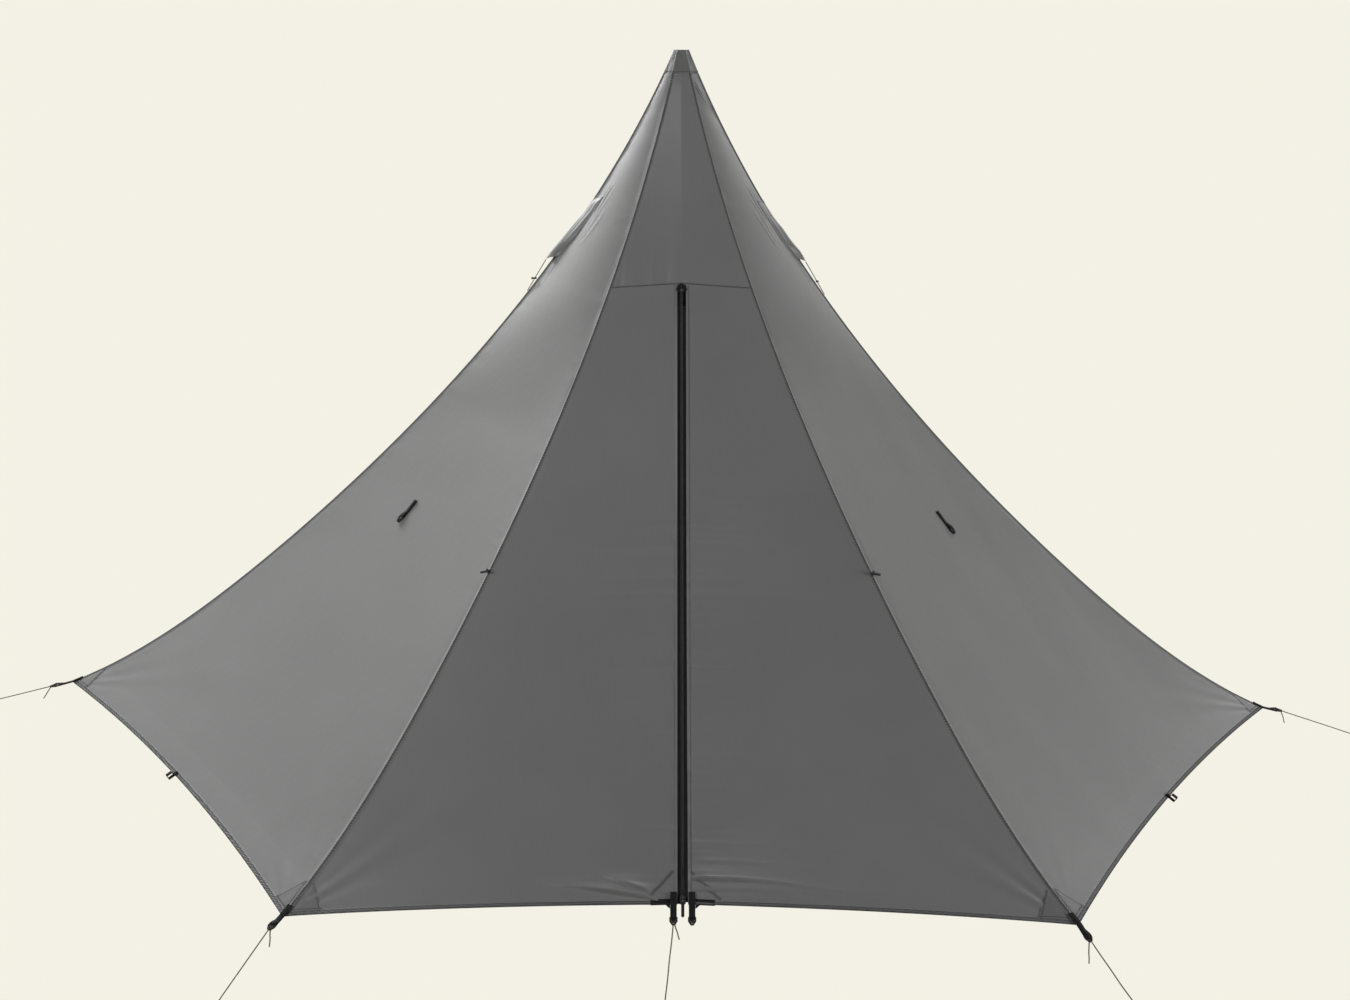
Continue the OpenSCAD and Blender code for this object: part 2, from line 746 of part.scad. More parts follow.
// Pull: a bar through the slider's eye, two arms and a flat grip that hangs down the zip
module slider_pull() {
    bar = eye_radius - 0.1;
    color(black_web)
        translate([0, -eye_out, 0]) {
            translate([-3.2, 0, 0])
                rotate([0, 90, 0])
                    cylinder(r = bar, h = 6.4, $fn = 32);
            for (side = [-1, 1])
                translate([side > 0 ? 1.8 : -3.2, -bar, -10])
                    cube([1.4, 2 * bar - 0.4, 10]);
            translate([0, bar - 0.4, -10])
                rotate([90, 0, 0])
                    linear_extrude(2 * bar - 0.4)
                        union() {
                            translate([-3.2, -pull_length + 13])
                                square([6.4, pull_length - 13]);
                            translate([0, -pull_length + 13])
                                circle(r = 3.2, $fn = 32);
                        }
        }
}

top_rest = 3 + slider_length / 2;
bottom_rest = zip_length - zip_tail - slider_length / 2;

module top_slider() {
    at_zip(top_rest) slider_body();
}

module bottom_slider() {
    at_zip(bottom_rest) rotate([0, 180, 0]) slider_body();
}

module top_pull() {
    at_zip(top_rest) slider_pull();
}

module bottom_pull() {
    at_zip(bottom_rest) slider_pull();
}

// ---- webbing and line locks --------------------------------------------------------

// Line lock, lying flat: x runs outward along the line, origin on the inner edge
lock_half = web_width / 2 + 1.8;
lock_nose = 3.6;
module line_lock() {
    color(black_web)
        difference() {
            translate([0, 0, -lock_thick / 2])
                linear_extrude(lock_thick)
                    difference() {
                        polygon([
                            [0, -lock_half + 1], [1, -lock_half], [lock_length * 0.45, -lock_half],
                            [lock_length - 1, -lock_nose], [lock_length, -lock_nose + 1],
                            [lock_length, lock_nose - 1], [lock_length - 1, lock_nose],
                            [lock_length * 0.45, lock_half], [1, lock_half], [0, lock_half - 1]
                        ]);
                        translate([2, -web_width / 2 - 0.4])
                            square([3.6, web_width + 0.8]);
                        translate([lock_length - 5.6, -2])
                            square([3, 4]);
                    }
            for (side = [-1, 1])
                translate([lock_length / 2, side * 3.8, -lock_thick])
                    cylinder(d = line_d + play, h = 2 * lock_thick, $fn = 24);
        }
}

// Webbing folded round what it holds. It runs along x and lies on its underside: two
// layers up to the knee, then a loop whose far end holds a bar. Its sewn stretch is bent up.
function web_top(hold) = 2 * web_thick + hold + 2 * play;
module web_fold(sewn, free, bend, hold, bar) {
    end = free + bar + play;
    knee = max(free / 2, 2);
    top = web_top(hold);
    sewn_end = [-sewn * cos(bend), sewn * sin(bend)];
    thick = 2 * web_thick;
    color(black_web)
        rotate([90, 0, 0])
            translate([0, 0, -web_width / 2])
                linear_extrude(web_width)
                    difference() {
                        polygon([
                            sewn_end, [0, 0], [end + web_thick, 0], [end + web_thick, top],
                            [free - play, top], [knee, thick], [thick * tan(bend / 2), thick],
                            sewn_end + [sin(bend), cos(bend)] * thick
                        ]);
                        polygon([
                            [knee + 1, web_thick], [end, web_thick], [end, top - web_thick],
                            [free - play, top - web_thick]
                        ]);
                    }
}

lock_rise = web_thick + play + lock_thick / 2;
lock_bar = 2;

// Slope below level of a ridge over its last stretch
function ridge_slope(k) =
    let (
        last = norm(on_ridge(k, 1) - on_ridge(k, hem_start)),
        before = norm(on_ridge(k, hem_start) - on_ridge(k, corner_row)),
        start = mix(on_ridge(k, hem_start), on_ridge(k, corner_row), (strap_sewn - last) / before),
        run = on_ridge(k, 1) - start
    )
    atan2(-run[2], norm([run[0], run[1]]));

// Frame at a corner: x outward, y across, z up, tilted down by an angle
module at_corner(k, angle) {
    translate(skin(on_ridge(k, 1), seam_rise + seat))
        rotate([0, 0, BEARING[k]])
            rotate([0, angle, 0])
                children();
}

GUYED = [LEFT, FRONT_LEFT, FRONT_RIGHT, RIGHT];
STRAPS = [strap_left, strap_front, strap_front, strap_right];

// The back corners are pegged through a ring, held level just above the ground by the
// webbing that passes beneath it
ring_d = 4;
ring_half = 15;
ring_hold = ring_d + 0.6;
ring_rise = web_thick + play + ring_hold / 2;
ring_level = ring_rise + 1;
ring_run = norm([ring_reach, lift_back - ring_level]);
back_angle = atan2(lift_back - ring_level, ring_reach) + asin(ring_rise / ring_run);
back_free = sqrt(ring_run * ring_run - ring_rise * ring_rise) - ring_hold / 2;

module corner_straps() {
    for (k = GUYED)
        at_corner(k, strap_angles[k])
            web_fold(strap_sewn, STRAPS[k], ridge_slope(k) - strap_angles[k], lock_thick, lock_bar);
    for (k = [BACK_RIGHT, BACK_LEFT])
        at_corner(k, back_angle)
            web_fold(strap_sewn, back_free, ridge_slope(k) - back_angle, ring_hold, ring_hold);
}

module corner_locks() {
    for (k = GUYED)
        at_corner(k, strap_angles[k])
            translate([STRAPS[k], 0, lock_rise])
                line_lock();
}

// D-shaped rings at the back corners' pegs
module back_peg_rings() {
    color([0.3, 0.3, 0.3])
        for (k = [BACK_RIGHT, BACK_LEFT])
            translate(skin(on_ridge(k, 1), seam_rise + seat))
                rotate([0, 0, BEARING[k]])
                    translate([ring_reach, 0, ring_level - lift_back - seam_rise - seat]) {
                        rotate([90, 0, 0])
                            cylinder(d = ring_d, h = 2 * ring_half, center = true, $fn = 24);
                        for (side = [-1, 1])
                            translate([0, side * ring_half, 0])
                                sphere(d = ring_d, $fn = 24);
                        rotate([0, 0, -90])
                            rotate_extrude(angle = 180, $fn = 64)
                                translate([ring_half, 0])
                                    circle(d = ring_d, $fn = 24);
                    }
}

// Webbing at the door's foot: a strip beside the zip that runs down to a line lock
foot_aside = zip_half + foot_gap + web_width / 2;
module at_foot(side) {
    at_zip(zip_length)
        translate([side * foot_aside, -zip_depth - 2 * seat, 0])
            rotate([0, 90, 0])
                rotate([90, 0, 0])
                    children();
}

// Place at the door's foot: along the hem from the zip's edge, and down over the hem
function foot_place(side, along, down, rise) =
    let (
        base = on_door_line(1, side * zip_half),
        far = side < 0 ? door_left_edge(1) : door_right_edge(1),
        upper = on_door_line(hem_start, side * zip_half)
    )
    skin(
        base + (far - base) / norm(far - base) * along + (base - upper) / norm(base - upper) * down,
        rise
    );

// Webbing laid along the hem, with a gusset that runs down into the strap beside it
module foot_strip(side) {
    start = foot_gap + web_width + seat;
    outline = [
        [start, -web_width * 0.8], [start + foot_strip, -web_width * 0.8], [start + foot_strip, 0],
        [start + web_width * 0.7, 0], [start, web_width * 0.7]
    ];
    points = [
        for (rise = [2 * seat + web_thick * 0.7, 2 * seat])
            for (q = outline) foot_place(side, q[0], q[1], rise)
    ];
    faces = [
        [0, 1, 2], [0, 2, 3], [0, 3, 4], [5, 7, 6], [5, 8, 7], [5, 9, 8],
        for (i = [0:4]) each [[i, i + 5, (i + 1) % 5 + 5], [i, (i + 1) % 5 + 5, (i + 1) % 5]]
    ];
    color(black_web)
        polyhedron(points = points, faces = side < 0 ? [for (f = faces) [f[2], f[1], f[0]]] : faces);
}

module foot_strap(side) {
    at_foot(side) web_fold(foot_sewn, foot_drop, 0, lock_thick, lock_bar);
    foot_strip(side);
}

module foot_lock(side) {
    at_foot(side)
        translate([foot_drop, 0, lock_rise])
            line_lock();
}

module door_foot_strap_left() {
    foot_strap(-1);
}

module door_foot_strap_right() {
    foot_strap(1);
}

module door_foot_lock_left() {
    foot_lock(-1);
}

module door_foot_lock_right() {
    foot_lock(1);
}

// Frame on the flat facets of a side or back panel: x down the panel, z outward
module at_panel(k, next, t, u) {
    spot = straight(function(s) on_side(k, next, s, u), t);
    down = straight(function(s) on_side(k, next, s, u), t + 0.001) - spot;
    along = straight(function(s) on_side(k, next, s, u + 0.01), t) - spot;
    x = down / norm(down);
    normal = cross(down, along);
    z = normal / norm(normal) * ((next - k + 6) % 6 == 1 ? 1 : -1);
    y = cross(z, x);
    multmatrix([
        [x[0], y[0], z[0], spot[0]],
        [x[1], y[1], z[1], spot[1]],
        [x[2], y[2], z[2], spot[2]],
        [0, 0, 0, 1]
    ])
        children();
}

PULLOUTS = [
    [LEFT, FRONT_LEFT, pullout_across], [RIGHT, FRONT_RIGHT, pullout_across],
    [RIGHT, BACK_RIGHT, pullout_across], [BACK_RIGHT, BACK_LEFT, 0.49], [LEFT, BACK_LEFT, pullout_across]
];

module at_pullout(p) {
    at_panel(p[0], p[1], pullout_share, p[2])
        translate([pullout_sewn, 0, 2 * seat])
            children();
}

module pullout_straps() {
    for (p = PULLOUTS)
        at_pullout(p)
            web_fold(pullout_sewn, pullout_free, 0, lock_thick, lock_bar);
}

module pullout_locks() {
    for (p = PULLOUTS)
        at_pullout(p)
            translate([pullout_free, 0, lock_rise])
                line_lock();
}

// Peg loops of webbing at the middle of each hem
module hem_loops() {
    sewn = 8;
    free = hem_loop_length - sewn;
    for (k = [LEFT, FRONT_RIGHT, RIGHT, BACK_RIGHT, BACK_LEFT])
        at_panel(k, (k + 1) % 6, 0.9985, 0.49)
            translate([sewn / 2, 0, 2 * seat])
                web_fold(sewn, 4, 0, hem_loop_height - 2 * play, free - 4);
}

// ---- vents and toggles -------------------------------------------------------------

// Insect mesh over half of a vent opening, between the ridge seam and one panel
module mesh_half(k, next) {
    wide = notch(k, next, vent_wide);
    front = [
        on_side(k, next, vent_top, 0), on_side(k, next, vent_wide, 0),
        on_side(k, next, vent_wide, wide), on_side(k, next, vent_foot, 0)
    ];
    faces = [
        [0, 2, 1], [1, 2, 3], [4, 5, 6], [5, 7, 6], [0, 4, 6], [0, 6, 2],
        [2, 6, 7], [2, 7, 3], [3, 7, 5], [3, 5, 1], [1, 5, 4], [1, 4, 0]
    ];
    polyhedron(
        points = concat(front, [for (p = front) skin(p, -cloth)]),
        faces = (next - k + 6) % 6 == 1 ? faces : [for (f = faces) [f[2], f[1], f[0]]]
    );
}

module vent_mesh() {
    color(mesh_black)
        for (k = [LEFT, RIGHT]) {
            mesh_half(k, (k + 1) % 6);
            mesh_half(k, (k + 5) % 6);
        }
}

// Hood over a vent: a bowed awning sewn down at its head and sides, open at its foot.
// It is a grid with r from 0 at its head to 1 at its foot and v from -1 to 1 across.
HOOD_SWELL = [[0, 0], [0.3, 0.15], [0.6, 0.6], [0.85, 0.95], [1, 1]];
function vent_side(k) = k == LEFT ? 0 : 1;
module vent_hood(k) {
    rise = hood_rise[vent_side(k)];
    tip = hood_tip[vent_side(k)];
    function aside(next, s) = on_side(k, next, s, hood_half / panel_width(k, next, s));
    function spot(r, v) =
        let (
            s = mix(hood_top, mix(tip, vent_wide, v * v), r),
            crest = straight(function(q) on_ridge(k, q), s),
            edge = straight(function(q) aside((k + (v < 0 ? 5 : 1)) % 6, q), s)
        )
        skin(mix(crest, edge, abs(v)), seat * 2 + seam_rise * (1 - v * v))
            + flat_out(crest) * rise * lookup(r, HOOD_SWELL) * (1 - v * v);
    back = [for (r = [0:0.2:1]) for (j = [-4:4]) spot(r, j / 4)];
    color(canopy_grey)
        sheet([for (p = back) skin(p, hood_thick * 0.7)], 6, 8, back);
}

module vent_hood_left() {
    vent_hood(LEFT);
}

module vent_hood_right() {
    vent_hood(RIGHT);
}

// Ends of the cord that ties the tip of a hood to the ridge below it
vent_foot_rise = vent_cord_d / 2 + seam_rise + 3 * seat;
function cord_head(k) =
    let (p = on_ridge(k, hood_tip[vent_side(k)]))
    p + flat_out(p) * (hood_rise[vent_side(k)] + 1.5) - [0, 0, 2 * seat];
function cord_foot(k) =
    let (p = straight(function(s) on_ridge(k, s), vent_cord_foot[vent_side(k)]))
    p + flat_out(p) * vent_foot_rise * 1.3;

// Frame on a vent cord: x down the cord, y across, z outward
module at_cord(k) {
    head = cord_head(k);
    run = cord_foot(k) - head;
    translate(head)
        rotate([0, 0, BEARING[k]])
            rotate([0, atan2(-run[2], norm([run[0], run[1]])), 0])
                children();
}

module vent_cords() {
    color(black_web)
        for (k = [LEFT, RIGHT])
            at_cord(k)
                rotate([0, 90, 0])
                    cylinder(d = vent_cord_d, h = norm(cord_foot(k) - cord_head(k)), $fn = 24);
}

// Toggle along z with a waist, its hole at the origin
module toggle_bar(above, below, d) {
    color(black_web)
        rotate_extrude($fn = 32)
            polygon([
                [0, -below], [d / 2 - 0.8, -below], [d / 2, -below + 0.8], [d / 2, -below * 0.6],
                [d / 2 - 0.5, -below * 0.3], [d / 2 - 0.5, above * 0.3], [d / 2, above * 0.6],
                [d / 2, above - 0.8], [d / 2 - 0.8, above], [0, above]
            ]);
}

toggle_play = 0.3;
vent_toggle_share = 0.6;

// Toggle threaded on a vent cord, turned about it by an angle and leaning to level
module vent_toggle(k, turn) {
    run = cord_foot(k) - cord_head(k);
    slope = atan2(-run[2], norm([run[0], run[1]]));
    at_cord(k)
        translate([norm(run) * vent_toggle_share, 0, 0])
            difference() {
                rotate([turn, 0, 0])
                    rotate([0, turn == 0 ? 90 - slope : 0, 0])
                        toggle_bar(vent_toggle_reach[0], vent_toggle_reach[1], vent_toggle_d);
                rotate([0, 90, 0])
                    cylinder(d = vent_cord_d + 2 * toggle_play, h = 20, center = true, $fn = 24);
            }
}

module vent_toggle_left() {
    vent_toggle(LEFT, 0);
}

module vent_toggle_right() {
    vent_toggle(RIGHT, 75);
}

// Frame on the crest of a ridge: x down the ridge, y across, z outward
module at_ridge(k, t) {
    spot = straight(function(s) on_ridge(k, s), t);
    step = straight(function(s) on_ridge(k, s), t + 0.001) - spot;
    translate(spot)
        rotate([0, 0, BEARING[k]])
            rotate([0, atan2(-step[2], norm([step[0], step[1]])), 0])
                children();
}

// The elastic of a tie toggle leaves the ridge through a sewn disc and ends in a knot
tie_base = 1.2;
tie_disc_d = 9;
tie_gap = 0.4;
crest_rise = seam_rise * 1.42 + seat;
tie_bar_rise = crest_rise + tie_base + tie_gap + tie_toggle_d / 2;
tie_knot_d = 2 * tie_cord_d;
tie_offset = 0.19;

module tie_cords() {
    color(black_web)
        for (k = [FRONT_LEFT, FRONT_RIGHT])
            at_ridge(k, tie_share)
                translate([0, 0, crest_rise]) {
                    cylinder(d = tie_disc_d, h = tie_base, $fn = 32);
                    cylinder(d = tie_cord_d, h = tie_base + 2 * tie_gap + tie_toggle_d + 0.5, $fn = 24);
                    translate([0, 0, tie_base + 2 * tie_gap + tie_toggle_d + tie_knot_d / 2])
                        sphere(d = tie_knot_d, $fn = 24);
                }
}

// Toggle across a front ridge, free to turn on its elastic
tie_lean = 20;
module tie_toggle(k) {
    side = k == FRONT_LEFT ? -1 : 1;
    long = tie_toggle_length * (1 - tie_offset);
    short = tie_toggle_length * tie_offset;
    at_ridge(k, tie_share)
        translate([0, 0, tie_bar_rise])
            difference() {
                rotate([0, 0, side * -tie_lean])
                    rotate([-side * 90, 0, 0])
                        toggle_bar(long, short, tie_toggle_d);
                cylinder(d = tie_cord_d + 2 * toggle_play, h = 20, center = true, $fn = 24);
            }
}

module tie_toggle_left() {
    tie_toggle(FRONT_LEFT);
}

module tie_toggle_right() {
    tie_toggle(FRONT_RIGHT);
}

// ---- guylines ----------------------------------------------------------------------

// Round cord swept along a route of points
module cord_along(route, d, sides = 8) {
    last = len(route) - 1;
    way = function(i) let (v = route[min(i + 1, last)] - route[max(i - 1, 0)]) v / norm(v);
    rings = [
        for (i = [0:last])
            let (
                ahead = way(i),
                level = cross(ahead, [0.3, 0.2, 1]),
                x = level / norm(level),
                y = cross(ahead, x)
            )
            for (s = [0:sides - 1])
                route[i] + (x * cos(360 * s / sides) + y * sin(360 * s / sides)) * d / 2
    ];
    polyhedron(
        points = rings,
        faces = concat(
            [[for (s = [0:sides - 1]) s]],
            [for (i = [0:last - 1]) for (s = [0:sides - 1])
                [i * sides + s, (i + 1) * sides + s, (i + 1) * sides + (s + 1) % sides]],
            [for (i = [0:last - 1]) for (s = [0:sides - 1])
                [i * sides + s, (i + 1) * sides + (s + 1) % sides, i * sides + (s + 1) % sides]],
            [[for (s = [sides - 1:-1:0]) last * sides + s]]
        )
    );
}

module guyline_left() {
    color(line_grey) cord_along(LINE_LEFT, line_d);
}

module guyline_right() {
    color(line_grey) cord_along(LINE_RIGHT, line_d);
}

module guyline_front_left() {
    color(line_grey) cord_along(LINE_FRONT_LEFT, line_d);
}

module guyline_front_right() {
    color(line_grey) cord_along(LINE_FRONT_RIGHT, line_d);
}

module guyline_door() {
    color(line_grey) cord_along(LINE_DOOR, line_d);
}

module line_tails() {
    color(line_grey)
        for (route = [TAIL_LEFT, TAIL_RIGHT, TAIL_FRONT_LEFT, TAIL_FRONT_RIGHT, TAIL_DOOR])
            cord_along(route, line_d);
}

// Loop and knot at the end of each guyline, lying on the ground round the peg
knot_d = 2.4 * line_d;
module peg_loops() {
    color(line_grey)
        for (route = [LINE_LEFT, LINE_RIGHT, LINE_FRONT_LEFT, LINE_FRONT_RIGHT, LINE_DOOR]) {
            end = route[len(route) - 1];
            middle = end + flat_out(end) * peg_loop_radius;
            translate([middle[0], middle[1], line_d / 2])
                rotate_extrude($fn = 32)
                    translate([peg_loop_radius, 0])
                        circle(d = line_d, $fn = 16);
            translate([end[0], end[1], knot_d / 2])
                sphere(d = knot_d, $fn = 16);
        }
}

// ---- pole --------------------------------------------------------------------------

pole_base = 6;
pole_top = peak_height - plug_height - 1;
section_length = (pole_top - pole_base) / SECTIONS;

module pole_section(i) {
    color([0.7, 0.7, 0.72])
        translate([0, 0, pole_base + (i - 1) * section_length])
            difference() {
                cylinder(d = pole_d, h = section_length, $fn = 48);
                translate([0, 0, -1])
                    cylinder(d = pole_d - 2 * pole_wall, h = section_length + 2, $fn = 48);
            }
}

module pole_section_1() {
    pole_section(1);
}

module pole_section_2() {
    pole_section(2);
}

module pole_section_3() {
    pole_section(3);
}

module pole_section_4() {
    pole_section(4);
}

module pole_section_5() {
    pole_section(5);
}

bore_r = pole_d / 2 - pole_wall;

// Short tubes inside the pole that join one section to the next
module pole_spigots() {
    color([0.6, 0.6, 0.62])
        for (i = [1:SECTIONS - 1])
            translate([0, 0, pole_base + i * section_length - spigot_length / 2])
                difference() {
                    cylinder(r = bore_r - 0.05, h = spigot_length, $fn = 48);
                    translate([0, 0, -1])
                        cylinder(r = bore_r - 1.05, h = spigot_length + 2, $fn = 48);
                }
}

// Rubber foot: a socket round the pole with a plug up its bore
module pole_foot() {
    color([0.08, 0.08, 0.08])
        rotate_extrude($fn = 64)
            polygon([
                [0, 0], [foot_d / 2 - 1.5, 0], [foot_d / 2, 1.5], [foot_d / 2 - 1, foot_height - 1],
                [foot_d / 2 - 2, foot_height], [pole_d / 2 + 0.05, foot_height],
                [pole_d / 2 + 0.05, pole_base],
                [bore_r - 0.05, pole_base], [bore_r - 0.05, foot_height + 8], [2, foot_height + 10],
                [2, pole_base], [0, pole_base]
            ]);
}

// Rounded plug in the top of the pole that sits in the peak's cup
module pole_plug() {
    color([0.08, 0.08, 0.08])
        translate([0, 0, pole_top])
            rotate_extrude($fn = 64)
                polygon([
                    [2, -20], [bore_r - 0.05, -18], [bore_r - 0.05, 0], [pole_d / 2, 0],
                    [pole_d / 2, 0.3], [pole_d / 2 - 2, 0.9], [pole_d / 2 - 2, plug_height - cup_wall - 1],
                    [pole_d / 2 - 3.5, plug_height - cup_wall + 0.7], [0, plug_height - cup_wall + 0.7],
                    [0, 2], [2, 2]
                ]);
}

// Elastic cord that runs through the pole and keeps its sections together
module pole_cord() {
    color([0.85, 0.85, 0.85])
        translate([0, 0, pole_base + 0.2])
            cylinder(d = 3.6, h = pole_top - pole_base + 1.6, $fn = 24);
}

panel_front_left();
panel_front_right();
panel_back_right();
panel_back();
panel_back_left();
panel_door_top();
panel_door_left();
panel_door_right();
door_flap();
ridge_seams();
peak_patch();
peak_cap();
peak_cup();
hem_tape();
door_flap_hem();
corner_patches();
zip_tape_left();
zip_tape_right();
zip_coil_left();
zip_coil_right();
zip_end_tab();
top_slider();
bottom_slider();
top_pull();
bottom_pull();
corner_straps();
corner_locks();
back_peg_rings();
door_foot_strap_left();
door_foot_strap_right();
door_foot_lock_left();
door_foot_lock_right();
pullout_straps();
pullout_locks();
hem_loops();
vent_mesh();
vent_hood_left();
vent_hood_right();
vent_cords();
vent_toggle_left();
vent_toggle_right();
tie_cords();
tie_toggle_left();
tie_toggle_right();
guyline_left();
guyline_right();
guyline_front_left();
guyline_front_right();
guyline_door();
line_tails();
peg_loops();
pole_section_1();
pole_section_2();
pole_section_3();
pole_section_4();
pole_section_5();
pole_spigots();
pole_foot();
pole_plug();
pole_cord();
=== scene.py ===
import math

import bmesh
import bpy
import numpy as np
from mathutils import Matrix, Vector
from mathutils.bvhtree import BVHTree


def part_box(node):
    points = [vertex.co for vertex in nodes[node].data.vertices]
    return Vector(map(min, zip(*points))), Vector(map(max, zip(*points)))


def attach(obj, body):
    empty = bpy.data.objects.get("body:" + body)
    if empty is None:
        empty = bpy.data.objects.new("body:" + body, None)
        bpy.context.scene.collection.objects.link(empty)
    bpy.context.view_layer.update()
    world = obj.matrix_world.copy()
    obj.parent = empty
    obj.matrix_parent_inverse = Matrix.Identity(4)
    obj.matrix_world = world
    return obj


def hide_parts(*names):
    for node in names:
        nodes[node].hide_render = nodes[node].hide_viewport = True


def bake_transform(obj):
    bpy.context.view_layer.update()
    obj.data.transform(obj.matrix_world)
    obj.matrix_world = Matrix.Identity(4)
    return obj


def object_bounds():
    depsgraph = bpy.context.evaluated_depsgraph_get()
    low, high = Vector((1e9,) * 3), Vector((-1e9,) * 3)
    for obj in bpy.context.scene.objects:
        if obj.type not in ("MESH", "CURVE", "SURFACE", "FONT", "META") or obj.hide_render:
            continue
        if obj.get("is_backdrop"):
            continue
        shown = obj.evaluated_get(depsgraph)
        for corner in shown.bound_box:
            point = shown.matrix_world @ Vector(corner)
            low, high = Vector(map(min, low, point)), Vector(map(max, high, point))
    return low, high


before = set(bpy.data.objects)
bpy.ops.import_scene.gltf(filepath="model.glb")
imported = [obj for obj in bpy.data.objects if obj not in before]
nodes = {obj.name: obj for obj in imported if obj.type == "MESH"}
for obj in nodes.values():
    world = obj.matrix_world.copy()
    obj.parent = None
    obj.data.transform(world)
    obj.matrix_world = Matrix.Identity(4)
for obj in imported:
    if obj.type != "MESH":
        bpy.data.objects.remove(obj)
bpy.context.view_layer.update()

# ---- camera and image points --------------------------------------------------------
IMAGE_W, IMAGE_H = 1350, 1000
CAMERA_AT = (0.03934, -5.12, 1.89204)
CAMERA_PITCH = math.radians(90 - 13.693)
CAMERA_YAW = math.radians(0.6177)
CAMERA_LENS = 54.1
SENSOR = 36.0

cam_data = bpy.data.cameras.new("camera")
cam_data.lens = CAMERA_LENS
cam_data.sensor_width = SENSOR
cam_data.sensor_fit = "AUTO"
camera = bpy.data.objects.new("camera", cam_data)
camera.location = CAMERA_AT
camera.rotation_euler = (CAMERA_PITCH, 0, CAMERA_YAW)
bpy.context.scene.collection.objects.link(camera)
bpy.context.scene.camera = camera
bpy.context.view_layer.update()

POINTS = {
    "apex": (680.5, 49),
    "left_end": (50.5, 684),
    "right_end": (1284, 713),
    "front_bottom": (1090, 941),
    "corner_left": (73, 682),
    "corner_front_left": (282, 916),
    "corner_front_right": (1079, 925),
    "corner_right": (1263, 708),
    "hood_tip_left": (547, 257),
    "hood_tip_right": (806, 264),
    "zip_tack": (680.6, 285.3),
    "zip_foot": (682.7, 904.7),
    "foot_seam_left_top": (674, 871),
    "foot_seam_left_low": (651, 896),
    "foot_seam_right_top": (691, 871),
    "foot_seam_right_low": (722, 900),
    "pullout_left": (405, 514),
    "pullout_right": (951, 523),
    "tie_left": (483, 571.5),
    "tie_right": (880, 574),
}


def ray_of(point):
    """Start and direction of the camera's ray through an image point, in the row frame."""
    long_side = max(IMAGE_W, IMAGE_H)
    d = Vector((
        point[0] - IMAGE_W / 2 + cam_data.shift_x * long_side,
        IMAGE_H / 2 - point[1] + cam_data.shift_y * long_side,
        -long_side * cam_data.lens / cam_data.sensor_width,
    ))
    m = camera.matrix_world
    return m.translation.copy(), (m.to_3x3() @ d).normalized()


def image_of(p):
    """Where a point of the row frame shows, in image pixels."""
    q = camera.matrix_world.inverted() @ Vector(p)
    scale = max(IMAGE_W, IMAGE_H) * cam_data.lens / cam_data.sensor_width / -q.z
    return IMAGE_W / 2 + q.x * scale, IMAGE_H / 2 - q.y * scale


def place(name, carrier):
    """Where the image point's ray meets the carrier, or the place on it nearest the ray."""
    start, d = ray_of(POINTS[name])
    hit, normal, _, _ = carrier.ray_cast(start, d)
    if hit is None:
        best = None
        for k in range(400):
            q = start + d * (3.0 + 0.01 * k)
            near, n, _, far = carrier.find_nearest(q)
            if best is None or far < best[0]:
                best = (far, near, n)
        _, hit, normal = best
    return hit, normal


# ---- the tent's form ----------------------------------------------------------------
HEIGHT, PEAK_R = 1.785, 0.017
LEFT, FRONT_LEFT, FRONT_RIGHT, RIGHT, BACK_RIGHT, BACK_LEFT = range(6)
BEARING = np.radians([180, 240, 300, 0, 60, 120])
REACH = np.array([1.62, 1.58, 1.605, 1.545, 1.6, 1.6])
LIFT = np.array([0.141, 0.115, 0.115, 0.08, 0.06, 0.06])
DOOR_BEARING = math.radians(270.6)
DOOR_REACH, DOOR_LIFT, DOOR_TOP = 1.38, 0.15, 0.33
ZIP_BOW, ZIP_HALF, ZIP_DEPTH = 0.08, 0.0105, 0.0029
PANEL_BOW, HEM_ARCH, DOOR_ARCH = 0.012, 0.0066, 0.003
SEAM_HALF, HEM_WIDTH, CLOTH = 0.005, 0.012, 0.001
DOOR_CREASE, PATCH_FOOT = 0.008, 0.034
HOOD_TOP, VENT_TOP, VENT_WIDE, VENT_FOOT = 0.215, 0.232, 0.272, 0.3
VENT_HALF, HOOD_HALF = 0.018, 0.038
HOOD_TIP = {LEFT: 0.313, RIGHT: 0.305}
HOOD_RISE = {LEFT: 0.016, RIGHT: 0.012}
HOOD_SWELL = {LEFT: [0, 0.2, 0.66, 1.02, 1], RIGHT: [0, 0.24, 0.78, 1.32, 1.02]}
LINE_D = 0.0026


def sweep_of(t):
    """Share of a ridge's reach at a share of its height: flared, most of all at the foot."""
    return 0.46 * t + 0.485 * t**2 + 0.055 * t**18


def on_rib(bearing, reach, lift, start, t):
    """Place on a curved rib that runs down and outward."""
    t = np.asarray(t, float)
    out = start + (reach - start) * sweep_of(t)
    return np.stack([
        math.cos(bearing) * out, math.sin(bearing) * out, HEIGHT - (HEIGHT - lift) * t
    ], -1)


def on_ridge(k, t):
    return on_rib(BEARING[k], REACH[k], LIFT[k], PEAK_R, t)


def on_front_rib(t):
    """Place on the line from the peak down to the door's head."""
    t = np.asarray(t, float)
    s = np.clip((t - PATCH_FOOT) / (DOOR_TOP - PATCH_FOOT), 0, 1)
    out = np.array([math.cos(DOOR_BEARING), math.sin(DOOR_BEARING), 0])
    rib = on_rib(DOOR_BEARING, DOOR_REACH, DOOR_LIFT, PEAK_R * math.cos(math.pi / 6), t)
    return rib + (DOOR_CREASE * np.sin(math.pi * s))[..., None] * out


def in_plane(p):
    """A place as its distance from the middle and its height."""
    return np.array([math.hypot(p[0], p[1]), p[2]])


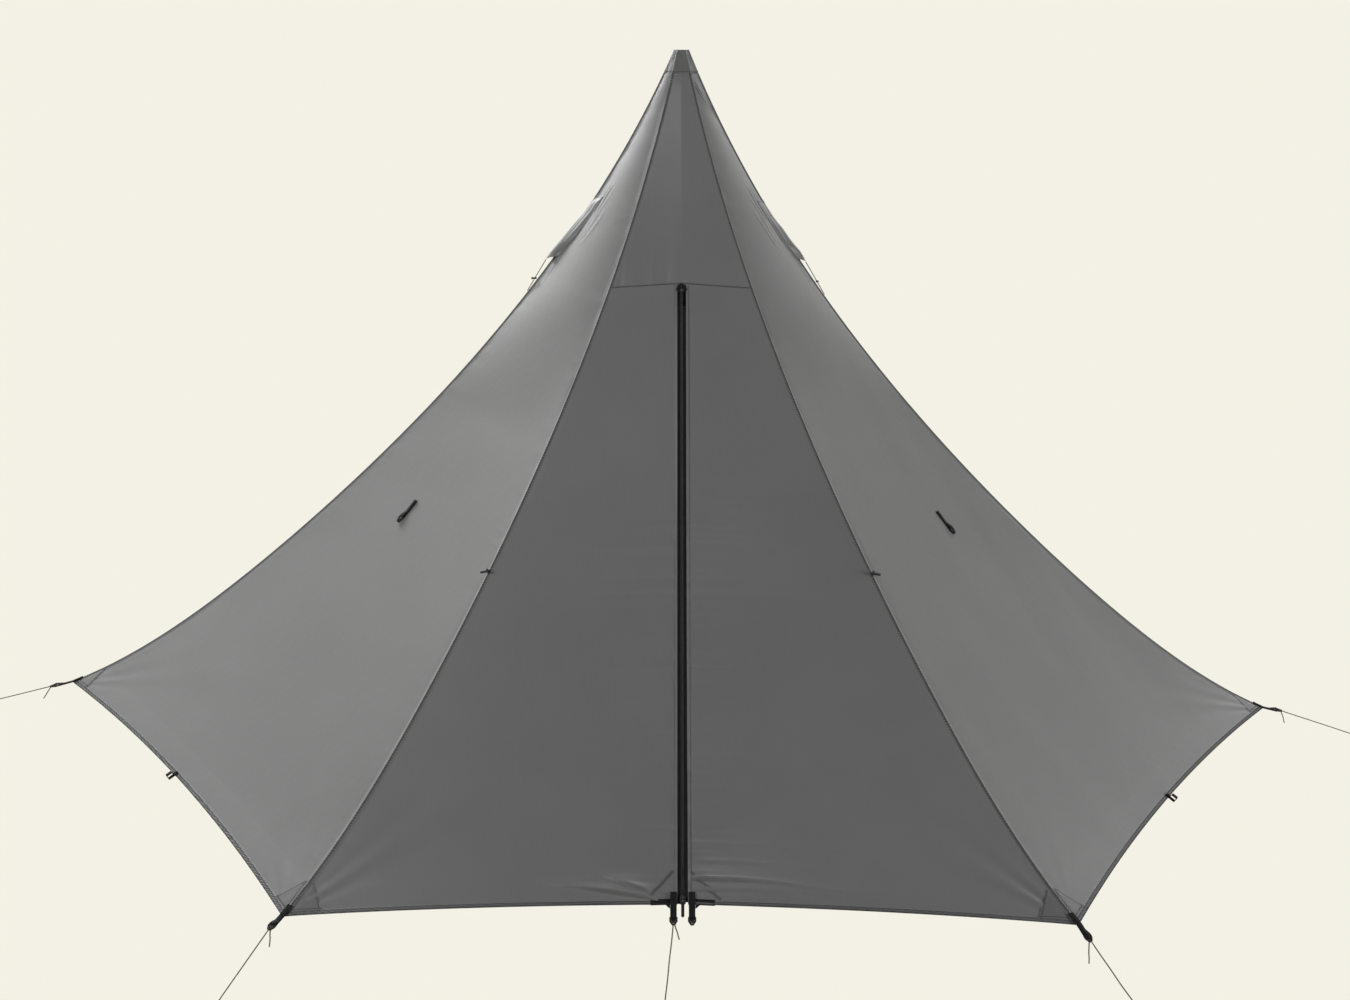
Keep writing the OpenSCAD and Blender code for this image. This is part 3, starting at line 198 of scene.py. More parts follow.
zip_head, zip_foot = in_plane(on_front_rib(DOOR_TOP)), in_plane(on_front_rib(1))
zip_chord = np.linalg.norm(zip_foot - zip_head)
zip_radius = (zip_chord**2 / 4 + ZIP_BOW**2) / (2 * ZIP_BOW)
zip_along = (zip_foot - zip_head) / zip_chord
zip_centre = (zip_head + zip_foot) / 2 + np.array([-zip_along[1], zip_along[0]]) * (zip_radius - ZIP_BOW)
zip_start = math.atan2(zip_centre[1] - zip_head[1], zip_centre[0] - zip_head[0])
zip_sweep = 2 * math.asin(zip_chord / 2 / zip_radius)
zip_length = zip_radius * zip_sweep
DOOR_SIDE = np.array([-math.sin(DOOR_BEARING), math.cos(DOOR_BEARING), 0])
DOOR_OUT = np.array([math.cos(DOOR_BEARING), math.sin(DOOR_BEARING), 0])


def on_door_line(t, aside=0.0):
    """Place on the line down the tent's front, aside to the right."""
    t = np.asarray(t, float)
    z = HEIGHT - (HEIGHT - DOOR_LIFT) * t
    reach = zip_centre[0] - np.sqrt(zip_radius**2 - (z - zip_centre[1]) ** 2)
    arc = np.stack([reach * DOOR_OUT[0], reach * DOOR_OUT[1], z], -1)
    p = np.where((t <= DOOR_TOP)[..., None], on_front_rib(t), arc)
    return p + DOOR_SIDE * aside


def at_zip(run, aside=0.0, inward=0.0):
    """Point along the zip's arc, aside to the right and inward from the cloth's face."""
    a = zip_start + np.asarray(run, float) / zip_radius
    r = zip_radius + inward
    reach, z = zip_centre[0] - r * np.cos(a), zip_centre[1] - r * np.sin(a)
    return np.stack([reach * DOOR_OUT[0], reach * DOOR_OUT[1], z], -1) + DOOR_SIDE * aside


def flat_out(p):
    """Level unit directions away from the tent's middle."""
    return np.concatenate([p[..., :2], np.zeros_like(p[..., :1])], -1) / np.linalg.norm(
        p[..., :2], axis=-1, keepdims=True)


def reach_to(p, q):
    return np.linalg.norm(p - q, axis=-1)


def beside(here, there, aside):
    """Places a little aside from here towards there."""
    gap = np.maximum(np.linalg.norm(there - here, axis=-1, keepdims=True), 1e-9)
    return here + (there - here) / gap * np.minimum(aside, gap * 0.3)


foot_slope = np.linalg.norm(on_ridge(LEFT, 1) - on_ridge(LEFT, 0.99)) / 0.01
hem_start = 1 - HEM_WIDTH / foot_slope
corner_row = DOOR_TOP + (hem_start - DOOR_TOP) * (1 - 0.1**1.5)


def evened(path, t):
    """A path that runs straight between the last rows, where the corners' webbing lies."""
    t = np.asarray(t, float)
    knots = np.array([corner_row, hem_start, 1.0])
    at = np.array([path(k) for k in knots])
    straight = np.stack([np.interp(t, knots, at[:, i]) for i in range(3)], -1)
    return np.where((t > corner_row)[..., None], straight, path(t))


def arched(t, u, arch):
    """Height shares that draw a panel's hem up into an arch."""
    return np.where(t <= DOOR_TOP, t, DOOR_TOP + (t - DOOR_TOP) * (1 - arch * 4 * u * (1 - u)))


def seam_line(k, other, t, aside):
    """Line beside ridge k, towards another ridge or the door's line."""
    far = on_door_line if other is None else (lambda s: on_ridge(other, s))
    return evened(lambda s: beside(on_ridge(k, s), far(s), aside), t)


def smooth_step(f):
    return f * f * (3 - 2 * f)


def eased(x, low, high):
    """Smooth step from 0 at low to 1 at high."""
    return smooth_step(np.clip((x - low) / (high - low), 0, 1))


# the upper part of each panel hangs outward by this share of its width, down to these heights
UPPER_SWELL, SWELL_UNTIL, SWELL_OUT_AT = 0.064, 0.34, 0.54


def on_side(k, nxt, t, u):
    """Place on the side or back panel between two ridges, u from 0 to 1 between its seams."""
    s = arched(t, u, HEM_ARCH)
    a, b = seam_line(k, nxt, s, SEAM_HALF), seam_line(nxt, k, s, SEAM_HALF)
    w = np.linalg.norm(b - a, axis=-1, keepdims=True)
    u = np.asarray(u)[..., None]
    bow = PANEL_BOW - UPPER_SWELL * (1 - eased(s, SWELL_UNTIL, SWELL_OUT_AT))[..., None]
    return a * (1 - u) + b * u - flat_out((a + b) / 2) * bow * w * 4 * u * (1 - u)


def panel_width(k, nxt, t):
    """How wide a side or back panel is at a height share."""
    return reach_to(seam_line(k, nxt, t, SEAM_HALF), seam_line(nxt, k, t, SEAM_HALF))


# ---- small mesh tools ---------------------------------------------------------------
def add_uvs(mesh, uvs):
    layer = mesh.uv_layers.new(name="uv")
    index = np.zeros(len(mesh.loops), int)
    mesh.loops.foreach_get("vertex_index", index)
    layer.data.foreach_set("uv", np.asarray(uvs, float)[index].astype(np.float32).ravel())


def mesh_object(name, verts, faces, material, body="tent", smooth=True, uv=None):
    """A mesh with one material that rides on a body of the tent."""
    mesh = bpy.data.meshes.new(name)
    mesh.from_pydata([tuple(map(float, v)) for v in verts], [], [tuple(map(int, f)) for f in faces])
    mesh.validate()
    if smooth:
        mesh.polygons.foreach_set("use_smooth", [True] * len(mesh.polygons))
    if uv is not None:
        add_uvs(mesh, uv)
    obj = bpy.data.objects.new(name, mesh)
    bpy.context.scene.collection.objects.link(obj)
    if material is not None:
        mesh.materials.append(material)
    if body:
        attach(obj, body)
    return obj


def grid_faces(rows, columns, offset=0, flip=False):
    """Faces of a grid whose points run along its rows."""
    i, j = np.meshgrid(np.arange(rows - 1), np.arange(columns - 1), indexing="ij")
    a = (i * columns + j).ravel() + offset
    quads = np.stack([a, a + columns, a + columns + 1, a + 1], -1)
    return quads[:, ::-1] if flip else quads


def grid_normals(p):
    """Outward unit normals of a grid of points, rows downward and columns either way."""
    n = np.cross(np.gradient(p, axis=0), np.gradient(p, axis=1))
    n /= np.maximum(np.linalg.norm(n, axis=-1, keepdims=True), 1e-12)
    out = (n * (flat_out(p) + np.array([0, 0, 0.6]))).sum(-1, keepdims=True)
    return n * np.where(out < 0, -1, 1)


def run_of(points):
    """How far along a line of points each of them is."""
    return np.concatenate([[0], np.cumsum(np.linalg.norm(np.diff(points, axis=0), axis=1))])


def ring_faces(rings, turns, capped=False):
    """Faces between rings of points that follow each other, with a face over each end."""
    faces = []
    for i in range(rings):
        for j in range(turns):
            k = (j + 1) % turns
            faces.append((i * turns + j, i * turns + k, (i + 1) * turns + k, (i + 1) * turns + j))
    if capped:
        faces.append(tuple(range(turns))[::-1])
        faces.append(tuple(rings * turns + j for j in range(turns)))
    return faces


class Batch:
    """Many small pieces that end up in one mesh."""

    def __init__(self):
        self.verts, self.faces, self.uvs, self.count = [], [], [], 0

    def add(self, verts, faces, uvs=None):
        verts = np.asarray(verts, float).reshape(-1, 3)
        self.verts.append(verts)
        self.uvs.append(np.zeros((len(verts), 2)) if uvs is None else np.asarray(uvs, float))
        self.faces += [[v + self.count for v in f] for f in faces]
        self.count += len(verts)

    def build(self, name, material, body="tent", smooth=True):
        return mesh_object(name, np.concatenate(self.verts), self.faces, material, body, smooth,
                           np.concatenate(self.uvs))


def between(points, run, at):
    """Places on a line of points, by the distance along it."""
    return np.stack([np.interp(at, run, points[:, i]) for i in range(3)], -1)


# threads: how far apart the stitches are, how long, how wide and how high they stand
RIDGE_THREAD = 0.0068, 0.0044, 0.0011, 0.0006
HEM_THREAD = 0.0052, 0.0034, 0.0007, 0.0004
ZIP_THREAD = 0.0045, 0.0032, 0.0007, 0.0004
HEADER_THREAD = 0.0045, 0.0032, 0.0008, 0.0005
HOOD_THREAD = 0.0042, 0.003, 0.0007, 0.0004
PATCH_THREAD = 0.0042, 0.0032, 0.0009, 0.0006
CORNER_THREAD = 0.0042, 0.0032, 0.0008, 0.0005
BRACE_THREAD = 0.0042, 0.0034, 0.0013, 0.0009
WEB_THREAD = 0.0028, 0.0021, 0.0006, 0.0004
STITCH_FACES = [(0, 1, 5, 4), (1, 2, 6, 5), (2, 3, 7, 6), (3, 0, 4, 7), (4, 5, 6, 7)]
STITCH_CORNERS = (-1, -1), (1, -1), (1, 1), (-1, 1)


def stitches(batch, points, normals, thread, rise=0.0):
    """Stitches of a thread along a line of points that lie on cloth with these normals."""
    pitch, length, width, height = thread
    normals = np.asarray(normals, float)
    points = np.asarray(points, float) + normals * rise
    if len(points) < 2:
        return
    run = run_of(points)
    at = np.arange(pitch / 2, run[-1], pitch)
    d = between(points, run, np.minimum(at + pitch * 0.3, run[-1])) \
        - between(points, run, np.maximum(at - pitch * 0.3, 0))
    d /= np.maximum(np.linalg.norm(d, axis=1, keepdims=True), 1e-12)
    n = between(normals, run, at)
    n /= np.linalg.norm(n, axis=1, keepdims=True)
    s = np.cross(n, d)
    s /= np.maximum(np.linalg.norm(s, axis=1, keepdims=True), 1e-12)
    for p, a, b, c in zip(between(points, run, at), d, s, n):
        base = [p + a * x * length / 2 + b * y * width / 2 for x, y in STITCH_CORNERS]
        top = [p + a * x * length * 0.36 + b * y * width * 0.3 + c * height for x, y in STITCH_CORNERS]
        batch.add(base + top, STITCH_FACES)


def tube(points, radius, sides):
    """Vertices, faces and (length, turn) coordinates of a round tube along a line of points."""
    points = np.asarray(points, float)
    d = np.gradient(points, axis=0)
    d /= np.linalg.norm(d, axis=1, keepdims=True)
    side = np.cross(d[0], [0, 0, 1.0])
    if np.linalg.norm(side) < 1e-3:
        side = np.cross(d[0], [1.0, 0, 0])
    side /= np.linalg.norm(side)
    verts, uvs = [], []
    for i, (p, run) in enumerate(zip(points, run_of(points))):
        side = side - d[i] * (side @ d[i])
        side /= np.linalg.norm(side)
        up = np.cross(d[i], side)
        for j in range(sides):
            a = 2 * math.pi * j / sides
            verts.append(p + (side * math.cos(a) + up * math.sin(a)) * radius)
            uvs.append((run, j / sides))
    return verts, ring_faces(len(points) - 1, sides, capped=True), uvs


def smooth_line(points, count):
    """A smooth line of that many points through the given ones."""
    p = np.asarray(points, float)
    e = np.concatenate([[2 * p[0] - p[1]], p, [2 * p[-1] - p[-2]]])
    out = []
    for s in np.linspace(0, len(p) - 1 - 1e-9, count):
        i, f = int(s), s - int(s)
        a, b, c, d = e[i], e[i + 1], e[i + 2], e[i + 3]
        out.append(0.5 * (2 * b + (c - a) * f + (2 * a - 5 * b + 4 * c - d) * f * f
                          + (3 * b - a - 3 * c + d) * f**3))
    return np.array(out)


def noise1(x, seed):
    """Smooth repeatable noise from -1 to 1 along a line."""
    x = np.asarray(x, float)
    i = np.floor(x)
    f = smooth_step(x - i)

    def value(k):
        v = np.sin(k * 127.1 + seed * 311.7) * 43758.5453
        return 2 * (v - np.floor(v)) - 1
    return value(i) * (1 - f) + value(i + 1) * f


def noise2(x, y, seed):
    """The same over a plane."""
    x, y = np.asarray(x, float), np.asarray(y, float)
    i, j = np.floor(x), np.floor(y)
    f, g = smooth_step(x - i), smooth_step(y - j)

    def value(a, b):
        v = np.sin(a * 127.1 + b * 269.5 + seed * 311.7) * 43758.5453
        return 2 * (v - np.floor(v)) - 1
    top = value(i, j) * (1 - f) + value(i + 1, j) * f
    low = value(i, j + 1) * (1 - f) + value(i + 1, j + 1) * f
    return top * (1 - g) + low * g


# ---- materials ----------------------------------------------------------------------
def linear(value):
    """Linear colour of an sRGB one from 0 to 255."""
    return tuple((c / 255 / 12.92) if c <= 10 else ((c / 255 + 0.055) / 1.055) ** 2.4 for c in value)


class Look:
    """A procedural material, built up node by node."""

    def __init__(self, name, colour, rough, metal=0.0, **sockets):
        colour = linear(colour)
        self.material = bpy.data.materials.new(name)
        self.material.use_nodes = True
        self.tree = self.material.node_tree
        self.bsdf = self.tree.nodes["Principled BSDF"]
        self.bsdf.inputs["Base Color"].default_value = (*colour, 1)
        self.bsdf.inputs["Roughness"].default_value = rough
        self.bsdf.inputs["Metallic"].default_value = metal
        for key, value in sockets.items():
            self.bsdf.inputs[key.replace("_", " ")].default_value = value
        self.colour, self.rough, self.height = colour, rough, None

    def node(self, kind):
        return self.tree.nodes.new(kind)

    def link(self, a, b):
        self.tree.links.new(a, b)

    def coords(self, kind="Object", scale=(1, 1, 1), turn=(0, 0, 0)):
        c = self.node("ShaderNodeTexCoord")
        m = self.node("ShaderNodeMapping")
        m.inputs["Scale"].default_value = scale
        m.inputs["Rotation"].default_value = turn
        self.link(c.outputs[kind], m.inputs["Vector"])
        return m.outputs["Vector"]

    def math(self, operation, a, b=None):
        n = self.node("ShaderNodeMath")
        n.operation = operation
        for i, v in enumerate((a, b)):
            if v is None:
                continue
            if isinstance(v, (int, float)):
                n.inputs[i].default_value = v
            else:
                self.link(v, n.inputs[i])
        return n.outputs[0]

    def noise(self, scale, detail=3, kind="Object", stretch=(1, 1, 1)):
        n = self.node("ShaderNodeTexNoise")
        n.inputs["Scale"].default_value = scale
        n.inputs["Detail"].default_value = detail
        self.link(self.coords(kind, stretch), n.inputs["Vector"])
        return n.outputs["Fac"]

    def wave(self, scale, axis="X", kind="UV", turn=(0, 0, 0), distortion=0.0):
        n = self.node("ShaderNodeTexWave")
        n.bands_direction = axis
        n.inputs["Scale"].default_value = scale
        n.inputs["Distortion"].default_value = distortion
        self.link(self.coords(kind, (1, 1, 1), turn), n.inputs["Vector"])
        return n.outputs["Fac"]

    def vary(self, factor, low, high):
        """Colour between two shades of the base colour, by a factor from 0 to 1."""
        r = self.node("ShaderNodeValToRGB")
        r.color_ramp.elements[0].position = 0.3
        r.color_ramp.elements[1].position = 0.7
        r.color_ramp.elements[0].color = (*[c * low for c in self.colour], 1)
        r.color_ramp.elements[1].color = (*[c * high for c in self.colour], 1)
        self.link(factor, r.inputs["Fac"])
        self.link(r.outputs["Color"], self.bsdf.inputs["Base Color"])
        return self

    def roughen(self, factor, spread):
        v = self.math("MULTIPLY_ADD", factor, spread)
        v.node.inputs[2].default_value = self.rough - spread / 2
        self.link(v, self.bsdf.inputs["Roughness"])
        return self

    def bump(self, height, strength, distance):
        b = self.node("ShaderNodeBump")
        b.inputs["Strength"].default_value = strength
        b.inputs["Distance"].default_value = distance
        self.link(height, b.inputs["Height"])
        if self.height is not None:
            self.link(self.height, b.inputs["Normal"])
        self.height = b.outputs["Normal"]
        self.link(self.height, self.bsdf.inputs["Normal"])
        return self


# a braid's strands: radians of their wave per metre of cord, and how many go round it
STRAND_TWIST, STRANDS_ROUND = 520, 4
# metres between the crests of a wave texture of scale 1, and the scale whose half wave is a metre
WAVE_PERIOD, HALF_WAVE_SCALE = 0.314, 0.159


def cloth_look(name, colour, rough=0.5, thread=0.0009, sheen=0.9):
    """Plain-woven polyester: two crossed threads, slubs, faint creases and uneven dye."""
    look = Look(name, colour, rough, Sheen_Weight=sheen, Sheen_Roughness=0.4)
    look.bsdf.inputs["Specular IOR Level"].default_value = 0.5
    scale = 1 / thread * HALF_WAVE_SCALE
    warp, weft = look.wave(scale, "X"), look.wave(scale, "Y")
    weave = look.math("MAXIMUM", warp, weft)
    patches = look.math("MULTIPLY", look.noise(2.2, 4), 0.75)
    slubs = look.math("MULTIPLY", look.noise(160, 2, "UV", (1, 0.12, 1)), 0.25)
    look.vary(look.math("ADD", patches, slubs), 0.93, 1.06)
    look.roughen(look.noise(9, 3), 0.12)
    look.bump(look.noise(42, 3), 0.10, 0.003)
    look.bump(look.noise(420, 2, "UV", (1, 0.1, 1)), 0.12, 0.0004)
    look.bump(weave, 0.22, 0.0002)
    return look.material


def seam_look(name, colour, period, light=1.25):
    """Felled seam pulled up between its stitches: soft bumps one stitch apart, with painted highlight on each
    bump and painted shade between them.
    """
    look = Look(name, colour, 0.66, Sheen_Weight=0.15)
    bumps = look.wave(WAVE_PERIOD / period, "Y", "UV", distortion=1.2)
    dye = look.math("MULTIPLY", look.noise(90, 2), 0.3)
    # painted highlight on the bumps and painted shade between them, over uneven dye; light sets how bright
    # the painted highlight gets
    look.vary(look.math("ADD", look.math("MULTIPLY", bumps, 0.7), dye), 0.72, light)
    look.roughen(look.noise(30, 2), 0.1)
    look.bump(bumps, 0.8, 0.0012)
    look.bump(look.noise(420, 2), 0.15, 0.0003)
    return look.material


def web_look(name, colour, kind="Object", scale=170):
    """Woven webbing: ribs across a herringbone."""
    look = Look(name, colour, 0.82, Sheen_Weight=0.04)
    look.bsdf.inputs["Specular IOR Level"].default_value = 0.25
    a = look.wave(scale, "DIAGONAL", kind)
    b = look.wave(scale, "DIAGONAL", kind, (0, 0, math.pi / 2))
    look.vary(look.noise(60, 3), 0.75, 1.5)
    look.roughen(look.noise(40, 2), 0.1)
    look.bump(look.math("MAXIMUM", a, b), 0.5, 0.0005)
    look.bump(look.noise(900, 2), 0.25, 0.0003)
    return look.material


def plastic_look(name, colour, rough=0.42, wear=1.9):
    """Moulded plastic: fine grain, flow marks and paler worn edges."""
    look = Look(name, colour, rough)
    g = look.node("ShaderNodeNewGeometry")
    edge = look.math("MULTIPLY", look.math("SUBTRACT", g.outputs["Pointiness"], 0.5), 6)
    look.vary(look.math("ADD", look.noise(55, 3), edge), 0.85, wear)
    look.roughen(look.noise(130, 3), 0.16)
    look.bump(look.noise(1500, 2), 0.12, 0.0002)
    return look.material


def metal_look(name, colour, rough=0.3, stretch=(1, 1, 1), wear=1.5):
    """Coated or drawn metal: streaks along its length, small scratches and worn edges."""
    look = Look(name, colour, rough, 1.0)
    g = look.node("ShaderNodeNewGeometry")
    edge = look.math("MULTIPLY", look.math("SUBTRACT", g.outputs["Pointiness"], 0.5), 8)
    look.vary(look.math("ADD", look.noise(70, 4, "Object", stretch), edge), 0.85, wear)
    look.roughen(look.noise(240, 4, "Object", stretch), 0.22)
    look.bump(look.noise(500, 3, "Object", stretch), 0.08, 0.0002)
    return look.material


def cord_look(name, colour):
    """Braided cord: two sets of strands that cross along it."""
    look = Look(name, colour, 0.72, Sheen_Weight=0.2)
    c = look.coords("UV", (STRAND_TWIST, 2 * math.pi * STRANDS_ROUND, 1))
    s = look.node("ShaderNodeSeparateXYZ")
    look.link(c, s.inputs[0])
    a = look.math("SINE", look.math("ADD", s.outputs[0], s.outputs[1]))
    b = look.math("SINE", look.math("SUBTRACT", s.outputs[0], s.outputs[1]))
    braid = look.math("MAXIMUM", a, b)
    # colour a little lighter on the strands and darker between them, painted highlight and shade, over random
    # tone
    look.vary(look.math("ADD", look.math("MULTIPLY", braid, 0.2), look.noise(260, 3)), 0.72, 1.35)
    look.roughen(look.noise(90, 2), 0.1)
    look.bump(braid, 0.6, 0.0003)
    return look.material


def thread_look(name, colour):
    """Sewing thread: fine fibres."""
    look = Look(name, colour, 0.7)
    look.vary(look.noise(300, 3), 0.7, 1.4)
    look.bump(look.noise(2500, 2), 0.3, 0.0002)
    return look.material


def mesh_look(name, colour):
    """Knitted mesh: threads in rows up and across."""
    look = Look(name, colour, 0.8)
    look.vary(look.noise(90, 2), 0.8, 1.3)
    across, up = look.wave(110, "X", "Object"), look.wave(110, "Z", "Object")
    look.bump(look.math("MULTIPLY", across, up), 0.8, 0.0006)
    return look.material


LOOKS = {
    "canopy": cloth_look("canopy_cloth", (101, 101, 101)),
    "patch": cloth_look("patch_cloth", (88, 88, 88), 0.55, 0.0012),
    # the seam's crest look is painted dark for the shade along the seam; the hem's and flank's looks share
    # its painted highlight and shade on the bumps
    "seam": seam_look("seam_welt_painted_shade", (52, 52, 52), 0.0072, 1.7),
    "hem": seam_look("hem_tape", (84, 84, 84), 0.0052, 1.12),
    "flank": seam_look("seam_flank", (99, 99, 99), 0.0066, 1.15),
    "thread": thread_look("thread", (44, 44, 44)),
    "dark_thread": thread_look("dark_thread", (22, 22, 22)),
    "webbing": web_look("black_webbing", (12, 12, 12)),
    "lock": plastic_look("lock_plastic", (17, 17, 18), 0.4),
    "toggle": plastic_look("toggle_plastic", (7, 7, 8), 0.5),
    "slider": metal_look("slider_metal", (118, 118, 120), 0.24, wear=1.9),
    "pull": plastic_look("pull_grip", (15, 15, 15), 0.6, 1.4),
    "tape": web_look("zip_tape", (24, 24, 24), "UV", 240),
    "coil": plastic_look("zip_coil", (46, 46, 48), 0.35, 1.3),
    "cord": cord_look("line_cord", (86, 83, 73)),
    "elastic": cord_look("black_elastic", (14, 14, 14)),
    "white_elastic": cord_look("shock_cord", (205, 205, 200)),
    "ring": metal_look("ring_steel", (70, 70, 72), 0.35),
    "pole": metal_look("pole_tube", (176, 177, 180), 0.3, (1, 1, 0.04), 1.15),
    "pole_plastic": plastic_look("pole_plastic", (24, 24, 25), 0.5),
    "mesh": mesh_look("vent_mesh", (24, 24, 24)),
}


NODE_LOOKS = {
    "webbing": ("corner_straps", "door_foot_strap_left", "door_foot_strap_right", "pullout_straps",
                "hem_loops"),
    "lock": ("corner_locks", "door_foot_lock_left", "door_foot_lock_right", "pullout_locks"),
    "ring": ("back_peg_rings",),
    "elastic": ("vent_cords", "tie_cords"),
    "toggle": ("vent_toggle_left", "vent_toggle_right", "tie_toggle_left", "tie_toggle_right"),
    "slider": ("top_slider", "bottom_slider"),
    "pull": ("top_pull", "bottom_pull"),
    "pole": ("pole_section_1", "pole_section_2", "pole_section_3", "pole_section_4", "pole_section_5",
             "pole_spigots"),
    "pole_plastic": ("pole_foot", "pole_plug", "peak_cup"),
    "white_elastic": ("pole_cord",),
    "mesh": ("vent_mesh",),
    "patch": ("peak_cap", "peak_patch", "corner_patches"),
    "coil": ("zip_end_tab",),
}
for look, names in NODE_LOOKS.items():
    for name in names:
        nodes[name].data.materials.clear()
        nodes[name].data.materials.append(LOOKS[look])

# ---- the canopy's cloth -------------------------------------------------------------
FLAP_RUN = 0.0575
FOLD_TOP, FOLD_SHARE = 0.014, 0.8
flap_start = (HEIGHT - at_zip(FLAP_RUN)[2]) / (HEIGHT - DOOR_LIFT)


def door_place(side, t, u):
    """Place on the left (-1) or right (1) front panel, u from the zip's edge to the ridge."""
    s = arched(t, u, DOOR_ARCH)
    near = on_door_line(s, side * ZIP_HALF)
    far = seam_line(FRONT_LEFT if side < 0 else FRONT_RIGHT, None, s, SEAM_HALF)
    u = np.asarray(u)[..., None]
    return near * (1 - u) + far * u


def door_width(side, t):
    """How wide a front panel is at a height share."""
    return reach_to(door_place(side, t, np.zeros_like(t)), door_place(side, t, np.ones_like(t)))


def spans(*stops):
    """Rows of height shares: pairs of (stop, how many rows lead up to it)."""
    rows, last = [0.0], 0.0
    for stop, count in stops:
        rows += list(np.linspace(last, stop, count + 1)[1:])
        last = stop
    return np.array(rows)


ROWS = spans((PATCH_FOOT, 5), (HOOD_TOP, 28), (VENT_TOP, 4), (VENT_WIDE, 8), (VENT_FOOT, 6),
             (DOOR_TOP, 6), (flap_start, 8), (0.62, 62), (0.93, 150), (corner_row, 46),
             (hem_start - 0.0006, 36), (hem_start, 1), (1, 6))
COLUMNS = 56


def notch(k, nxt, t):
    """Share of a panel's width that the vent beside ridge k cuts away."""
    if k not in (LEFT, RIGHT):
        return np.zeros_like(t)
    return np.interp(t, [VENT_TOP, VENT_WIDE, VENT_FOOT], [0, VENT_HALF, 0]) / panel_width(k, nxt, t)


def hem_rise(t):
    """The hem is folded over, so it stands off a little."""
    return np.where(t >= hem_start - 1e-9, 0.0005, 0.0)


# creases beside the vents: height share, where it starts and ends, distance from the ridge,
# lean away from the ridge, depth
VENT_FOLDS = [(0.196, 0.192, 0.226, 0.044, -0.03, 0.0020), (0.221, 0.214, 0.25, 0.047, 0.0, 0.0020),
              (0.235, 0.23, 0.284, 0.086, -0.12, 0.0024), (0.21, 0.2, 0.262, 0.064, -0.05, 0.0014),
              (0.31, 0.292, 0.345, 0.022, 0.03, 0.0014)]


def gauss(x, width):
    """A bell from 1 at zero towards 0, of that half width."""
    return np.exp(-((x / width) ** 2))


# depths of the relief on the side and back panels
SIDE_PUCKER, SIDE_CORNER_FOLD, SIDE_SLACK, SIDE_WAVE, HEM_WAVE = 0.0011, 0.0015, 0.0016, 0.0007, 0.0008


def side_relief(p, t, seed, vent_at=None):
    """How far a side or back panel stands off its smooth form: puckers along the seams,
    folds that run from the pegged corners and slack in between."""
    left, right = reach_to(p, p[:, :1]), reach_to(p, p[:, -1:])
    run = (1 - t) * foot_slope
    d = np.zeros(p.shape[:2])
    for dist, k in ((left, 1), (right, 2)):
        pucker = noise1(run / 0.013 + k * 31.7, seed) * 0.6 + noise1(run / 0.031 + k * 7.3, seed + 1)
        d += SIDE_PUCKER * pucker * np.exp(-dist / 0.026) * (1 - np.exp(-dist / 0.005))
        from_corner = np.hypot(dist, run)
        angle = np.arctan2(run, dist + 1e-6)
        fold = np.sin(angle * 13 + k * 2.1 + seed) * np.sin(angle * 2) ** 2
        d += SIDE_CORNER_FOLD * fold * np.exp(-from_corner / 0.2) * np.clip(from_corner / 0.06, 0, 1)
    d += SIDE_SLACK * noise2(p[..., 0] / 0.33 + p[..., 1] / 0.41, p[..., 2] / 0.3, seed + 3)
    d += SIDE_WAVE * noise2((p[..., 0] + p[..., 1]) / 0.13, p[..., 2] / 0.2, seed + 5)
    hem = noise1(np.minimum(left, right) / 0.026, seed + 8) * np.exp(-run / 0.018) * HEM_WAVE
    for height, low, high, aside, lean, depth in VENT_FOLDS if vent_at is not None else ():
        away = left if vent_at == 0 else right
        line = away - aside - lean * (t - height) * foot_slope
        held = np.clip((t - low) / 0.008, 0, 1) * np.clip((high - t) / 0.012, 0, 1)
        d += depth * (gauss(line - 0.004, 0.0034) - gauss(line, 0.0026)) * held
    edge = np.clip(np.minimum(left, right) / 0.012, 0, 1)
    return (d + hem) * edge


# steep folds that cross the foot of the right front panel: height at the zip, depth, width, slope
RIGHT_FOOT_FOLDS = [(0.024, 0.0075, 0.0014, -0.01), (0.045, 0.017, 0.0022, -0.04),
                    (0.076, 0.0095, 0.0022, -0.01), (0.102, 0.005, 0.0026, 0.01)]
# and of the left one: height, slope, depth, distance of the deepest place from the zip, reach
LEFT_FOOT_FOLDS = [(0.004, 0.145, 0.013, 0.12, 0.1), (0.006, 0.34, 0.0095, 0.085, 0.05)]
FOLD_FALL = 0.021
# depths of the rest of the front panels' relief
ZIP_PUCKER, RIDGE_PUCKER, DOOR_CORNER_FOLD, DOOR_SLACK = 0.0021, 0.0007, 0.002, 0.0014


